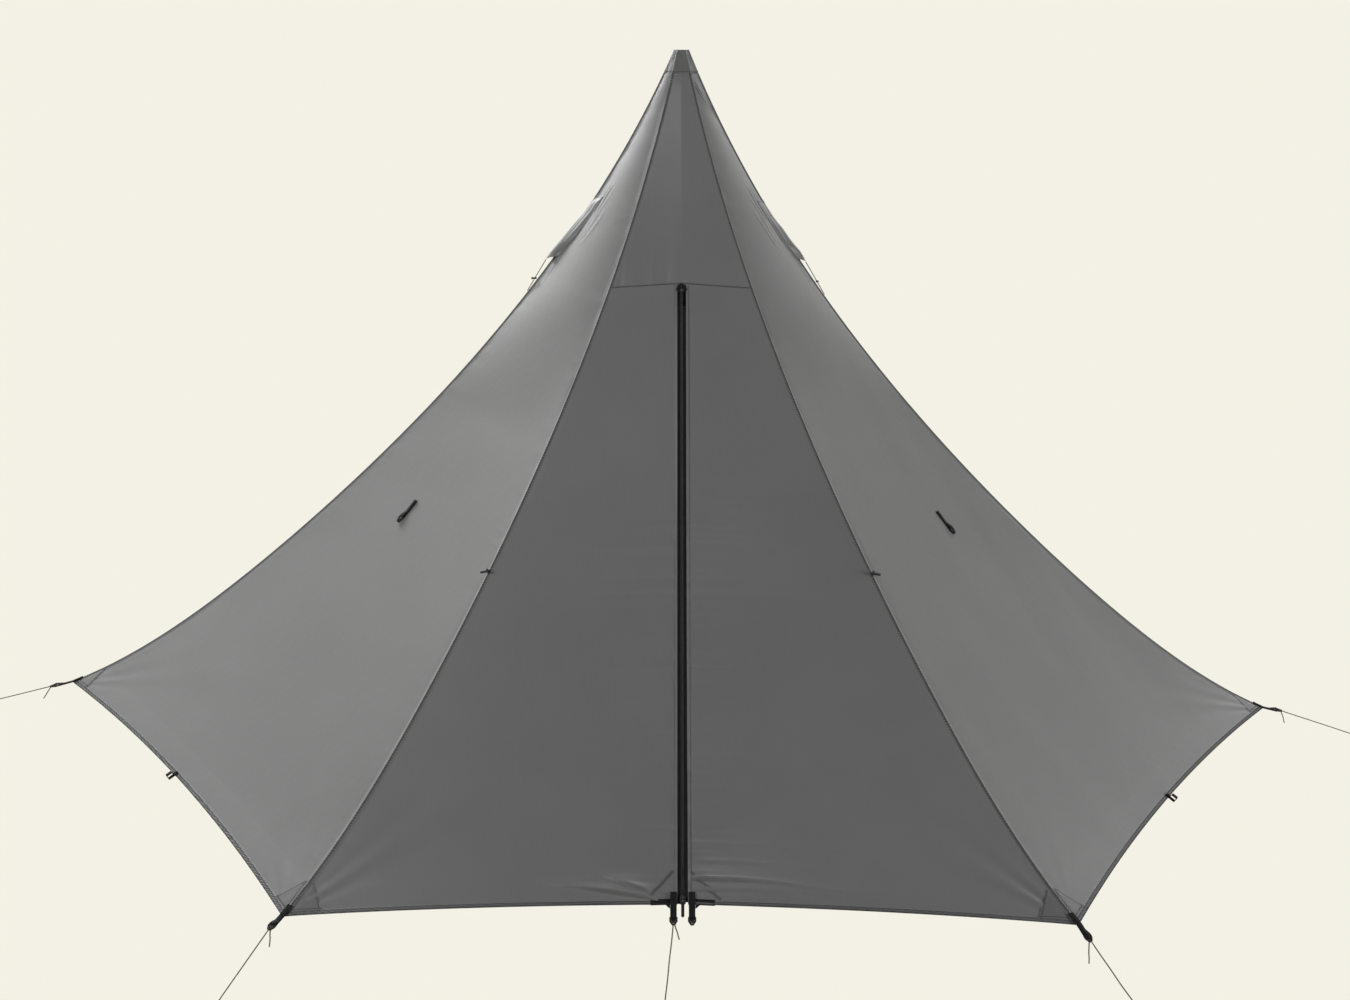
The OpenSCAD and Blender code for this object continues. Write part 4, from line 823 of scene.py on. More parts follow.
def door_relief(side, p, t):
    """Relief of a front panel: crosswise puckers beside the zip, folds at the corner and the
    steep folds across its foot."""
    near, far = reach_to(p, p[:, :1]), reach_to(p, p[:, -1:])
    run = (1 - t) * zip_length / (1 - DOOR_TOP)
    seed = 40 + side
    share = np.clip((t - 0.5) / 0.15, 0, 1) * (1.0 if side > 0 else 0.45)
    pucker = noise1(run / 0.0095, seed) + 0.7 * noise1(run / 0.021, seed + 1)
    fade = np.exp(-near / (0.05 + 0.05 * (noise1(run / 0.02, seed + 2) + 1)))
    d = ZIP_PUCKER * share * pucker * fade * (1 - np.exp(-near / 0.004))
    d += RIDGE_PUCKER * noise1(run / 0.03, seed + 4) * np.exp(-far / 0.03) * (1 - np.exp(-far / 0.006))
    from_corner = np.hypot(far, run)
    angle = np.arctan2(run, far + 1e-6)
    fold = np.sin(angle * 11 + side) * np.sin(angle * 2) ** 2
    d += DOOR_CORNER_FOLD * fold * np.exp(-from_corner / 0.18) * np.clip(from_corner / 0.06, 0, 1)
    d += DOOR_SLACK * noise2(p[..., 0] / 0.36, p[..., 2] / 0.22, seed + 6)
    reachable = np.exp(-(near / 0.21) ** 2) * (1 - np.exp(-near / 0.012))
    if side > 0:
        for height, depth, width, slope in RIGHT_FOOT_FOLDS:
            line = run - height - slope * near + 0.002 * noise1(near / 0.05, seed + height * 100)
            rise = np.clip(line / (2.2 * width) + 0.5, 0, 1)
            fall = np.exp(-np.clip(line - 1.1 * width, 0, 1) / FOLD_FALL)
            d += depth * smooth_step(rise) * fall * reachable
    else:
        for start, slope, depth, middle, reach in LEFT_FOOT_FOLDS:
            line = run - start - slope * np.clip(near - 0.02, 0, 0.3)
            rise = np.clip(line / 0.0034 + 0.5, 0, 1)
            fall = np.exp(-np.clip(line - 0.0017, 0, 1) / FOLD_FALL)
            clear = np.clip((near - 0.032) / 0.03, 0, 1)
            d += depth * smooth_step(rise) * fall * gauss(near - middle, reach) * clear
    edge = np.clip(far / 0.012, 0, 1) * np.clip(near / 0.004, 0, 1)
    return d * edge


WELD = 2e-5


class Cloth:
    """Grids of cloth that are welded into one sheet, with UVs in metres."""

    def __init__(self):
        self.verts, self.faces, self.uvs, self.slots, self.count = [], [], [], [], 0

    def add(self, p, slot_of=0, flip=False):
        rows, columns = p.shape[:2]
        across = np.concatenate([np.zeros((rows, 1)), np.cumsum(reach_to(p[:, 1:], p[:, :-1]), 1)], 1)
        down = np.concatenate([np.zeros((1, columns)), np.cumsum(reach_to(p[1:], p[:-1]), 0)], 0)
        mid = across - across[:, columns // 2][:, None]
        self.verts.append(p.reshape(-1, 3))
        self.uvs.append(np.stack([mid, down], -1).reshape(-1, 2))
        self.faces.append(grid_faces(rows, columns, self.count, flip))
        self.slots.append(np.broadcast_to(slot_of, (rows - 1, columns - 1)).ravel())
        self.count += rows * columns

    def build(self, name, materials, body="tent", thick=CLOTH):
        verts, uvs = np.concatenate(self.verts), np.concatenate(self.uvs)
        faces, slots = np.concatenate(self.faces), np.concatenate(self.slots)
        mesh = bpy.data.meshes.new(name)
        mesh.from_pydata(verts.tolist(), [], faces.tolist())
        for m in materials:
            mesh.materials.append(m)
        mesh.polygons.foreach_set("material_index", slots.astype(np.int32))
        mesh.polygons.foreach_set("use_smooth", [True] * len(mesh.polygons))
        add_uvs(mesh, uvs)
        bm = bmesh.new()
        bm.from_mesh(mesh)
        bmesh.ops.remove_doubles(bm, verts=bm.verts, dist=WELD)
        bmesh.ops.dissolve_degenerate(bm, edges=bm.edges, dist=1e-7)
        bmesh.ops.recalc_face_normals(bm, faces=bm.faces)
        for edge in bm.edges:
            if edge.is_boundary:
                edge.smooth = False
        bm.faces.ensure_lookup_table()
        probe = max(bm.faces, key=lambda f: f.calc_area())
        if probe.normal.dot(probe.calc_center_median() - Vector((0, 0, 0.3))) < 0:
            bmesh.ops.reverse_faces(bm, faces=bm.faces)
        bm.to_mesh(mesh)
        bm.free()
        obj = bpy.data.objects.new(name, mesh)
        bpy.context.scene.collection.objects.link(obj)
        self.area = sum(f.area for f in mesh.polygons)
        solid = obj.modifiers.new("thickness", "SOLIDIFY")
        solid.thickness, solid.offset = thick, -1
        if body:
            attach(obj, body)
        return obj


# a seam's section from its edge to its crest: distance from the ridge line and height off the cloth,
# then which of the canopy's looks each strip of it has
SEAM_OFFSETS = (0.005, 0.0046, 0.0034, 0.0026, 0.0014)
SEAM_LIFT = (0.0, 0.0004, 0.0006, 0.0012, 0.0015)
# the middle strips take the seam's look, painted dark for the shade along the seam; the flanks keep the
# cloth's tone
SEAM_SLOTS = np.array([[2, 2, 2, 1, 1, 1, 1, 2, 2, 2]])
HEM_EDGE = 0.0022
CLOTH_LOOKS = [LOOKS["canopy"], LOOKS["seam"], LOOKS["flank"], LOOKS["hem"]]


def hem_slots(rows):
    """Which look each row of cells has: cloth, hem tape, and the dark edge at the very foot."""
    middle = (rows[1:] + rows[:-1]) / 2
    return np.where(middle > 1 - HEM_EDGE / foot_slope, 1, np.where(middle > hem_start, 3, 0))[:, None]


def seam_grid(k, before, after, t):
    """The felled seam along ridge k: its edges lie on the panels and it rises to a crest."""
    fade = np.clip(t / PATCH_FOOT, 0, 1) * 0.9 + 0.1
    cols = []
    for other, order in ((before, 1), (after, -1)):
        part = []
        for off, lift in zip(SEAM_OFFSETS, SEAM_LIFT):
            p = seam_line(k, other, t, off)
            part.append(p + (flat_out(p) + [0, 0, 1]) * (lift * fade)[:, None])
        cols.append(part[::order])
    crest = seam_line(k, after, t, 0.0)
    crest = crest + (flat_out(crest) + [0, 0, 1]) * (0.0014 * fade)[:, None]
    return np.stack(cols[0] + [crest] + cols[1], 1)


canopy_cloth = Cloth()
# columns lie closer together beside the seams
column_at = np.linspace(0, 1, COLUMNS + 1)[None, :]
column_at = column_at - 0.075 * np.sin(2 * math.pi * column_at)
panel_grids, seam_grids = {}, {}
SIDE_PANELS = [(LEFT, FRONT_LEFT), (FRONT_RIGHT, RIGHT), (RIGHT, BACK_RIGHT), (BACK_RIGHT, BACK_LEFT),
               (BACK_LEFT, LEFT)]
# each ridge and what its seam's two sides run towards: another ridge, or None for the door's line
RIDGE_SIDES = [(LEFT, BACK_LEFT, FRONT_LEFT), (FRONT_LEFT, LEFT, None), (FRONT_RIGHT, None, RIGHT),
               (RIGHT, FRONT_RIGHT, BACK_RIGHT), (BACK_RIGHT, RIGHT, BACK_LEFT),
               (BACK_LEFT, BACK_RIGHT, LEFT)]
for number, (k, nxt) in enumerate(SIDE_PANELS):
    low, high = notch(k, nxt, ROWS)[:, None], 1 - notch(nxt, k, ROWS)[:, None]
    u = low + (high - low) * column_at
    t = np.broadcast_to(ROWS[:, None], u.shape)
    p = on_side(k, nxt, t, u)
    n = grid_normals(p)
    vent_at = 0 if k in (LEFT, RIGHT) else 1 if nxt in (LEFT, RIGHT) else None
    p = p + n * (side_relief(p, t, 3 + number * 17, vent_at) + hem_rise(t))[..., None]
    panel_grids[(k, nxt)] = (p, n)
    canopy_cloth.add(p, hem_slots(ROWS))
for k, before, after in RIDGE_SIDES:
    seam_grids[k] = seam_grid(k, before, after, ROWS)
    canopy_cloth.add(seam_grids[k], SEAM_SLOTS)

# the cloth above the door: depth of its crease, of the puckers above the header and of its waves
CREASE_MORE, HEADER_PUCKER, TOP_WAVE, CREASE_FOLD = 0.010, 0.0015, 0.0007, 0.0016


def front_top(rows):
    """The cloth above the door, creased down its middle and puckered above the header's seam."""
    v = np.linspace(-1, 1, 121)[None, :]
    w = np.abs(v)[..., None]
    left_edge = seam_line(FRONT_LEFT, None, rows, SEAM_HALF)[:, None]
    right_edge = seam_line(FRONT_RIGHT, None, rows, SEAM_HALF)[:, None]
    crease_run = np.clip((rows - PATCH_FOOT) / (DOOR_TOP - PATCH_FOOT), 0, 1)
    crease = (CREASE_MORE * np.sin(math.pi * np.sqrt(crease_run)))[:, None, None] * DOOR_OUT
    middle = on_door_line(rows)[:, None] + crease
    grid = middle * (1 - w) + np.where(v[..., None] < 0, left_edge, right_edge) * w
    near_edge = np.minimum(reach_to(grid, left_edge), reach_to(grid, right_edge))
    to_header = (DOOR_TOP - rows)[:, None] * zip_length / (1 - DOOR_TOP)
    x = grid[..., 0]
    pucker = noise1(x / 0.011, 71) * (0.9 + 0.5 * (v < 0)) + 0.8 * noise1(x / 0.026, 72)
    lift = HEADER_PUCKER * pucker * np.exp(-to_header / 0.035) * (1 - np.exp(-to_header / 0.006))
    lift += TOP_WAVE * noise1(to_header / 0.02, 73) * np.exp(-near_edge / 0.02)
    lift += TOP_WAVE * noise2(x / 0.09, to_header / 0.2, 74)
    lift += CREASE_FOLD * gauss(x + 0.012, 0.008) * gauss(to_header, 0.14)
    lift = lift * np.clip(near_edge / 0.012, 0, 1) * np.clip(to_header / 0.004, 0, 1)
    return grid + grid_normals(grid) * lift[..., None]


top_rows = ROWS[ROWS <= DOOR_TOP + 1e-9]
top_grid = front_top(top_rows)
canopy_cloth.add(top_grid)

# the cloth beside the zip is folded under in a strip that ends between the last two of these
ZIP_FOLD = [0, 0.0008, 0.0068, 0.0076]
low_rows = ROWS[ROWS >= DOOR_TOP - 1e-9]


def door_grid(side, rows, columns):
    """A front panel's places with its relief, and its smooth normals."""
    t = np.broadcast_to(rows[:, None], columns.shape)
    p = door_place(side, t, columns)
    n = grid_normals(p)
    near = reach_to(p, p[:, :1])
    fold = 0.0006 * np.clip(1 - np.clip((near - ZIP_FOLD[2]) / 0.0008, 0, 1), 0, 1)
    p = p + n * (door_relief(side, p, t) + hem_rise(t) + fold)[..., None]
    return p, n


def left_shares(rows):
    """Columns of the left front panel: at fixed distances beside the zip, then spread to the ridge."""
    beside_zip = np.concatenate([ZIP_FOLD, np.linspace(0.011, 0.2, 44)])
    width = door_width(-1, rows)[:, None]
    near = np.minimum(beside_zip / width, np.linspace(0, 0.8, len(beside_zip)))
    far = near[:, -1:] + (1 - near[:, -1:]) * np.linspace(0, 1, 50)[None, 1:]
    return np.concatenate([near, far], 1)


left_columns = left_shares(low_rows)
left_grid, left_normals = door_grid(-1, low_rows, left_columns)
canopy_cloth.add(left_grid, hem_slots(low_rows), flip=True)
top_strip = low_rows[low_rows <= flap_start + 1e-9]
strip_columns = left_columns[:len(top_strip)]
strip_grid, strip_normals = door_grid(1, top_strip, strip_columns)
canopy_cloth.add(strip_grid)

canopy = canopy_cloth.build("canopy", CLOTH_LOOKS)
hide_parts("panel_front_left", "panel_front_right", "panel_back_right", "panel_back",
            "panel_back_left", "panel_door_top", "panel_door_left", "ridge_seams", "hem_tape")

# ---- the door's right half: its own sheet, with close columns about the line it would fold along ---
fold_head = on_door_line(flap_start, ZIP_HALF + FOLD_TOP)
foot_zip, foot_ridge = door_place(1, 1.0, 0.0), seam_line(FRONT_RIGHT, None, 1.0, SEAM_HALF)
fold_foot = foot_zip * (1 - FOLD_SHARE) + foot_ridge * FOLD_SHARE
fold_run = (fold_foot - fold_head)[:2]
fold_out = np.array([fold_run[1], -fold_run[0], 0]) / np.linalg.norm(fold_run)
if fold_out[0] > 0:
    fold_out = -fold_out


def fold_at(t):
    """Where the fold crosses the panel at height share t, from 0 at the zip to 1 at the ridge."""
    a, b = on_door_line(t, ZIP_HALF), seam_line(FRONT_RIGHT, None, t, SEAM_HALF)
    off_a, off_b = (a - fold_head) @ fold_out, (b - fold_head) @ fold_out
    return off_a / (off_a - off_b)


def flap_shares(rows):
    """Columns of the flap: the fold beside the zip, the cloth up to the door's fold, close ones
    about it, and the rest."""
    fold, width = fold_at(rows)[:, None], door_width(1, rows)[:, None]
    narrow = np.minimum(1, fold * width / 0.03)
    edge = np.minimum(np.array([ZIP_FOLD]) / width, fold * np.array([[0, 0.06, 0.5, 0.56]]))
    start, end = edge[:, -1:], fold - 0.012 / width * narrow
    inner = start + (end - start) * np.linspace(0, 1, 62)[None, 1:]
    about = fold + np.array([[-0.009, -0.006, -0.003, 0, 0.003, 0.006]]) / width * narrow
    outer = about[:, -1:] + (1 - about[:, -1:]) * np.linspace(0, 1, 34)[None, 1:]
    return np.concatenate([edge, inner, about, outer], 1)


flap_rows = ROWS[ROWS >= flap_start - 1e-9]
flap_columns = flap_shares(flap_rows)
flap_grid, flap_normals = door_grid(1, flap_rows, flap_columns)
flap_cloth = Cloth()
flap_cloth.add(flap_grid, hem_slots(flap_rows))
door_right = flap_cloth.build("door_right", CLOTH_LOOKS, body=None)
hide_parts("panel_door_right", "door_flap", "door_flap_hem")
FOLD_START, FOLD_END = fold_head - fold_out * 0.002, fold_head + fold_out * 0.012
tuple(FOLD_START)
tuple(FOLD_END)
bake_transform(door_right)

# ---- stitching on the canopy --------------------------------------------------------
SEAT, SEAM_TOP = 0.00025, 0.0004
HEM_SEAMS, HEADER_SEAMS, FOLD_COLUMN = (0.0022, 0.0098), (0.0034, 0.0054), 2


def skin(p, rise):
    """Points lifted off the cloth, outward and up."""
    return p + (flat_out(p) + np.array([0, 0, 1])) * rise


def lifted(p, rise):
    """The same along the cloth's own slope, and the direction."""
    n = flat_out(p) + np.array([0, 0, 0.7])
    n /= np.linalg.norm(n, axis=-1, keepdims=True)
    return p + n * rise, n


def stitch_row(work, grid, normals, rows, t, thread):
    """Stitches along a grid's row at height share t."""
    at = np.interp(t, rows, np.arange(len(rows)))
    i = min(int(at), len(rows) - 2)
    f = at - i
    stitches(work, grid[i] * (1 - f) + grid[i + 1] * f, normals[i], thread, 0.0004)


def stitch_hem(work, grid, normals, rows):
    for up in HEM_SEAMS:
        stitch_row(work, grid, normals, rows, 1 - up / foot_slope, HEM_THREAD)


def stitch_fold(work, grid, normals):
    """Stitches that hold the fold beside the zip."""
    stitches(work, grid[:, FOLD_COLUMN], normals[:, FOLD_COLUMN], ZIP_THREAD, 0.0002)


thread_work = Batch()
fine_rows = np.linspace(0.02, 1, 420)
for k, before, after in RIDGE_SIDES:
    for other in (before, after):
        stitches(thread_work, *lifted(seam_line(k, other, fine_rows, 0.003), 0.0007), RIDGE_THREAD)
for grid, normals in panel_grids.values():
    stitch_hem(thread_work, grid, normals, ROWS)
stitch_hem(thread_work, left_grid, left_normals, low_rows)
for up in HEADER_SEAMS:
    stitch_row(thread_work, top_grid, grid_normals(top_grid), top_rows,
               DOOR_TOP - up / zip_length * (1 - DOOR_TOP), HEADER_THREAD)
stitch_fold(thread_work, left_grid, left_normals)
stitch_fold(thread_work, strip_grid, strip_normals)
thread_work.build("canopy_stitches", LOOKS["thread"], smooth=False)

flap_work = Batch()
stitch_fold(flap_work, flap_grid, flap_normals)
stitch_hem(flap_work, flap_grid, flap_normals, flap_rows)
flap_stitches = flap_work.build("door_stitches", LOOKS["thread"], body=None, smooth=False)
tuple(FOLD_START)
tuple(FOLD_END)
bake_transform(flap_stitches)

# ---- carrier for what is placed from the photo --------------------------------------
def tree_of(grids):
    """What finds places on some grids of cloth."""
    verts, faces, count = [], [], 0
    for grid in grids:
        verts += grid.reshape(-1, 3).tolist()
        faces += grid_faces(*grid.shape[:2], count).tolist()
        count += grid.shape[0] * grid.shape[1]
    return BVHTree.FromPolygons(verts, faces)


def nearest(tree, p, out):
    """The nearest place on cloth, and the cloth's normal on the side that out points to."""
    near, normal, _, _ = tree.find_nearest(Vector(p))
    near, normal = np.array(near), np.array(normal)
    return near, -normal if normal @ out < 0 else normal


cloth_tree = tree_of([left_grid, flap_grid])


def on_cloth(p):
    """The nearest place on the door's cloth, a little off it, and the cloth's outward normal."""
    near, normal = nearest(cloth_tree, p, np.array([0, -1, 0.4]))
    return near + normal * 0.0006, normal


# two rows of stitches that slant away from the zip, on each side of its foot
BODY_OF = {"left": "tent", "right": "door"}
for side, body in BODY_OF.items():
    top_p, low_p = [np.array(place(f"foot_seam_{side}_{end}", cloth_tree)[0]) for end in ("top", "low")]
    brace = Batch()
    for shift in (0.0, 0.0035):
        step = np.cross(low_p - top_p, [0, -1, 0.5])
        step = step / np.linalg.norm(step) * shift
        pts, ns = zip(*[on_cloth(top_p + (low_p - top_p) * f + step) for f in np.linspace(0, 1, 14)])
        stitches(brace, pts, ns, PATCH_THREAD)
    brace.build(f"foot_brace_{side}", LOOKS["thread"], body, False)

# ---- hoods over the vents -----------------------------------------------------------
SWELL_AT = [0, 0.3, 0.6, 0.84, 1]


def seated(p, weight, tree, rise):
    """Points drawn onto the cloth beneath by a weight from 0 to 1."""
    out = p.copy()
    for i, j in zip(*np.nonzero(weight > 0)):
        near, normal = nearest(tree, p[i, j], flat_out(p[i, j]))
        w = weight[i, j]
        out[i, j] = p[i, j] * (1 - w) + (near + normal * rise) * w
    return out


def hood(k, name):
    """A vent's hood: cloth sewn down on both sides of ridge k, which swells between its seams."""
    r = np.linspace(0, 1, 36)[:, None]
    v = np.linspace(-1, 1, 41)[None, :]
    s = HOOD_TOP * (1 - r) + (HOOD_TIP[k] * (1 - v * v) + VENT_WIDE * v * v) * r
    crest = on_ridge(k, s)
    edges = []
    for nxt in ((k + 5) % 6, (k + 1) % 6):
        width = panel_width(k, nxt, s.ravel()).reshape(s.shape)
        edges.append(on_side(k, nxt, s, HOOD_HALF / width))
    edge = np.where(v[..., None] < 0, edges[0], edges[1])
    w = np.abs(v)[..., None]
    p = skin(crest * (1 - w) + edge * w, (SEAT * 2 + SEAM_TOP * (1 - v * v))[..., None] + 0.0004)
    lip = eased(r, 0.78, 1.0) * eased(np.abs(v), 0.2, 0.62)
    swell = np.interp(r, SWELL_AT, HOOD_SWELL[k]) * HOOD_RISE[k] * (1 - v * v) ** 1.8 * (1 - lip)
    ripple = 0.0014 * noise2(v * 3.1 + 5 * k, r * 4.3, 7 + k) * np.sin(math.pi * r) * (1 - v**4)
    ripple += 0.0013 * noise1(v * 9 + r * 2.5 + k, 60 + k) * np.sin(math.pi * r) * (1 - v * v)
    p = p + flat_out(crest) * (swell + ripple)[..., None]
    tree = tree_of([panel_grids[pair][0] for pair in panel_grids if k in pair] + [seam_grids[k]])
    hold = np.maximum(eased(np.abs(v), 0.7, 0.95) + 0 * r, 1 - eased(r, 0.02, 0.12) + 0 * v)
    hold = np.maximum(hold, eased(r, 0.8, 0.95) * eased(np.abs(v), 0.24, 0.5))
    p = seated(p, hold, tree, 0.0008)
    rim = np.clip((r - 0.93) / 0.01, 0, 1) * 0.0003
    n = grid_normals(p)
    p = p + n * rim[..., None]
    cloth = Cloth()
    cloth.add(p)
    obj = cloth.build(name, [LOOKS["canopy"]], thick=0.0006)
    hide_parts(name)
    round(min(cloth.area, 0.0159), 5)
    work = Batch()
    for j in (1, 39):
        stitches(work, p[:, j], n[:, j], HOOD_THREAD, 0.0004)
    for i in (32, 1):
        stitches(work, p[i], n[i], HOOD_THREAD, 0.0004)
    work.build(name + "_stitches", LOOKS["thread"], smooth=False)


hood(LEFT, "vent_hood_left")
hood(RIGHT, "vent_hood_right")

# ---- webbing ------------------------------------------------------------------------
WEB_W, WEB_T, LOCK_T, PLAY = 0.013, 0.0014, 0.0044, 0.0004


def frame_matrix(origin, x, y, z):
    """The matrix of a frame from its origin and axes."""
    m = np.eye(4)
    m[:3, 0], m[:3, 1], m[:3, 2], m[:3, 3] = x, y, z, origin
    return m


def ribbon(batch, path, m):
    """Webbing with rounded selvedges swept along a flat path of (x, z) in a frame."""
    path = np.asarray(path, float)
    d = np.gradient(path, axis=0)
    d /= np.maximum(np.linalg.norm(d, axis=1, keepdims=True), 1e-12)
    normal = np.stack([-d[:, 1], d[:, 0]], 1)
    h, e, y = WEB_T / 2, WEB_T * 0.35, WEB_W / 2
    section = [(-y, -h + e), (-y + e, -h), (0, -h * 0.96), (y - e, -h), (y, -h + e),
               (y, h - e), (y - e, h), (0, h * 0.96), (-y + e, h), (-y, h - e)]
    verts, uvs = [], []
    for q, n, run in zip(path, normal, run_of(path)):
        edge = 0.00012 * math.sin(run / 0.0011)
        for a, b in section:
            across = a + (edge if abs(a) > y * 0.8 else 0) * (1 if a > 0 else -1)
            local = np.array([q[0] + n[0] * b, across, q[1] + n[1] * b, 1])
            verts.append((m @ local)[:3])
            uvs.append((run, a))
    batch.add(verts, ring_faces(len(path) - 1, len(section), capped=True), uvs)


def densify(points, step=0.0011):
    """The same line with a point every step or less."""
    out = []
    for a, b in zip(points[:-1], points[1:]):
        a, b = np.array(a), np.array(b)
        count = max(int(np.linalg.norm(b - a) / step), 1)
        out += [a + (b - a) * i / count for i in range(count)]
    return np.array(out + [np.array(points[-1])])


def web_loop(batch, work, m, sewn, free, bend, hold, bar):
    """Webbing folded round a bar: two layers sewn down, then a loop that holds the bar."""
    end, top, h = free + bar + PLAY, 2 * WEB_T + hold + 2 * PLAY, WEB_T / 2
    knee = max(free / 2, 0.002)
    up = np.array([math.sin(bend), math.cos(bend)])
    back = np.array([-math.cos(bend), math.sin(bend)])
    turn = [(end + h * math.sin(a), top / 2 + (h - top / 2) * math.cos(a))
            for a in np.linspace(0.25, math.pi - 0.25, 9)]
    path = [back * sewn + up * (WEB_T + h), (0, WEB_T + h), (knee, WEB_T + h), (free - PLAY, top - h),
            (end - 0.0006, top - h)]
    path += turn[::-1] + [(end - 0.0006, h), (0, h), back * sewn + up * h]
    ribbon(batch, densify(path), m)
    box = [(0.1, -0.4), (0.95, -0.4), (0.95, 0.4), (0.1, 0.4)]
    box += [box[0], box[2], box[1], box[3]]
    normal = m[:3, :3] @ np.array([up[0], 0, up[1]])
    line = []
    for f, y in box:
        q = back * sewn * f + up * (2 * WEB_T)
        line.append((m @ np.array([q[0], y * WEB_W, q[1], 1]))[:3])
    line = densify(line, 0.002)
    stitches(work, line, np.broadcast_to(normal, line.shape), WEB_THREAD)


def sewn_on(web, work, name, stitches_name, replaced, body="tent"):
    """Builds webbing in place of a node, and its stitches."""
    obj = web.build(name, LOOKS["webbing"], body)
    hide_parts(replaced)
    work.build(stitches_name, LOOKS["dark_thread"], body, False)


def corner_frame(k, angle):
    """Frame at ridge k's foot whose first axis points outward and down by an angle."""
    out = np.array([math.cos(BEARING[k]), math.sin(BEARING[k]), 0])
    y = np.array([-out[1], out[0], 0])
    x = out * math.cos(angle) - np.array([0, 0, math.sin(angle)])
    return frame_matrix(skin(on_ridge(k, 1.0), SEAM_TOP + SEAT), x, y, np.cross(x, y))


def ridge_slope(k, sewn):
    """How steep ridge k runs along its last stretch, under webbing of the sewn length."""
    last = np.linalg.norm(on_ridge(k, 1) - on_ridge(k, hem_start))
    before = np.linalg.norm(on_ridge(k, hem_start) - on_ridge(k, corner_row))
    f = (sewn - last) / before
    start = on_ridge(k, hem_start) * (1 - f) + on_ridge(k, corner_row) * f
    run = on_ridge(k, 1) - start
    return math.atan2(-run[2], math.hypot(run[0], run[1]))


STRAP_SEWN, RING_REACH, RING_D = 0.03, 0.034, 0.004
corner_web, corner_work = Batch(), Batch()
for k, degrees, free in ((LEFT, 16, 0.046), (FRONT_LEFT, 22, 0.026), (FRONT_RIGHT, 34, 0.026),
                         (RIGHT, 14, 0.034)):
    angle = math.radians(degrees)
    web_loop(corner_web, corner_work, corner_frame(k, angle), STRAP_SEWN, free,
             ridge_slope(k, STRAP_SEWN) - angle, LOCK_T, 0.002)
hold = RING_D + 0.0006
ring_rise = WEB_T + PLAY + hold / 2
ring_level = ring_rise + 0.001
ring_run = math.hypot(RING_REACH, LIFT[BACK_LEFT] - ring_level)
back_angle = math.atan2(LIFT[BACK_LEFT] - ring_level, RING_REACH) + math.asin(ring_rise / ring_run)
back_free = math.sqrt(ring_run**2 - ring_rise**2) - hold / 2
for k in (BACK_RIGHT, BACK_LEFT):
    web_loop(corner_web, corner_work, corner_frame(k, back_angle), STRAP_SEWN, back_free,
             ridge_slope(k, STRAP_SEWN) - back_angle, hold, hold)
sewn_on(corner_web, corner_work, "corner_webbing", "corner_web_stitches", "corner_straps")


def panel_frame(k, nxt, t, u):
    """Frame on a panel: down the cloth, along it and off it."""
    spot = on_side(k, nxt, np.array(t), np.array(u))
    down = on_side(k, nxt, np.array(t + 0.001), np.array(u)) - spot
    aside = on_side(k, nxt, np.array(t), np.array(u + 0.01)) - spot
    x = down / np.linalg.norm(down)
    z = np.cross(down, aside)
    z = z / np.linalg.norm(z) * (1 if (nxt - k) % 6 == 1 else -1)
    return frame_matrix(spot, x, np.cross(z, x), z)


def moved(m, x, y, z):
    """The same frame moved along its own axes."""
    out = m.copy()
    out[:3, 3] = (m @ np.array([x, y, z, 1]))[:3]
    return out


PULL_T, PULL_U, PULL_SEWN = 0.653, 0.4, 0.018
pull_web, pull_work = Batch(), Batch()
for k, nxt, u in ((LEFT, FRONT_LEFT, PULL_U), (RIGHT, FRONT_RIGHT, PULL_U), (RIGHT, BACK_RIGHT, PULL_U),
                  (BACK_RIGHT, BACK_LEFT, 0.49), (LEFT, BACK_LEFT, PULL_U)):
    m = moved(panel_frame(k, nxt, PULL_T, u), PULL_SEWN, 0, 0.0009)
    web_loop(pull_web, pull_work, m, PULL_SEWN, 0.034, 0, LOCK_T, 0.002)
sewn_on(pull_web, pull_work, "pullout_webbing", "pullout_stitches", "pullout_straps")

HEM_LOOP_T, HEM_LOOP_SEWN, HEM_LOOP_HOLD = 0.9985, 0.008, 0.0082
loop_web, loop_work = Batch(), Batch()
for k, nxt in SIDE_PANELS:
    m = moved(panel_frame(k, nxt, HEM_LOOP_T, 0.49), 0.004, 0, 0.0007)
    web_loop(loop_web, loop_work, m, HEM_LOOP_SEWN, 0.004, 0, HEM_LOOP_HOLD, 0.012)
sewn_on(loop_web, loop_work, "hem_loop_webbing", "hem_loop_stitches", "hem_loops")

# webbing at the door's foot, and a strip of it that is sewn along the hem beside
arc_end = zip_start + zip_sweep
foot_x = DOOR_OUT * math.sin(arc_end) - np.array([0, 0, math.cos(arc_end)])
foot_x /= np.linalg.norm(foot_x)
foot_normal = np.cross(foot_x, DOOR_SIDE)
if foot_normal @ DOOR_OUT < 0:
    foot_normal = -foot_normal
FOOT_GAP, STRIP_HIGH, STRIP_LONG, STRIP_CUT = 0.0015, 0.0135, 0.039, 0.0091
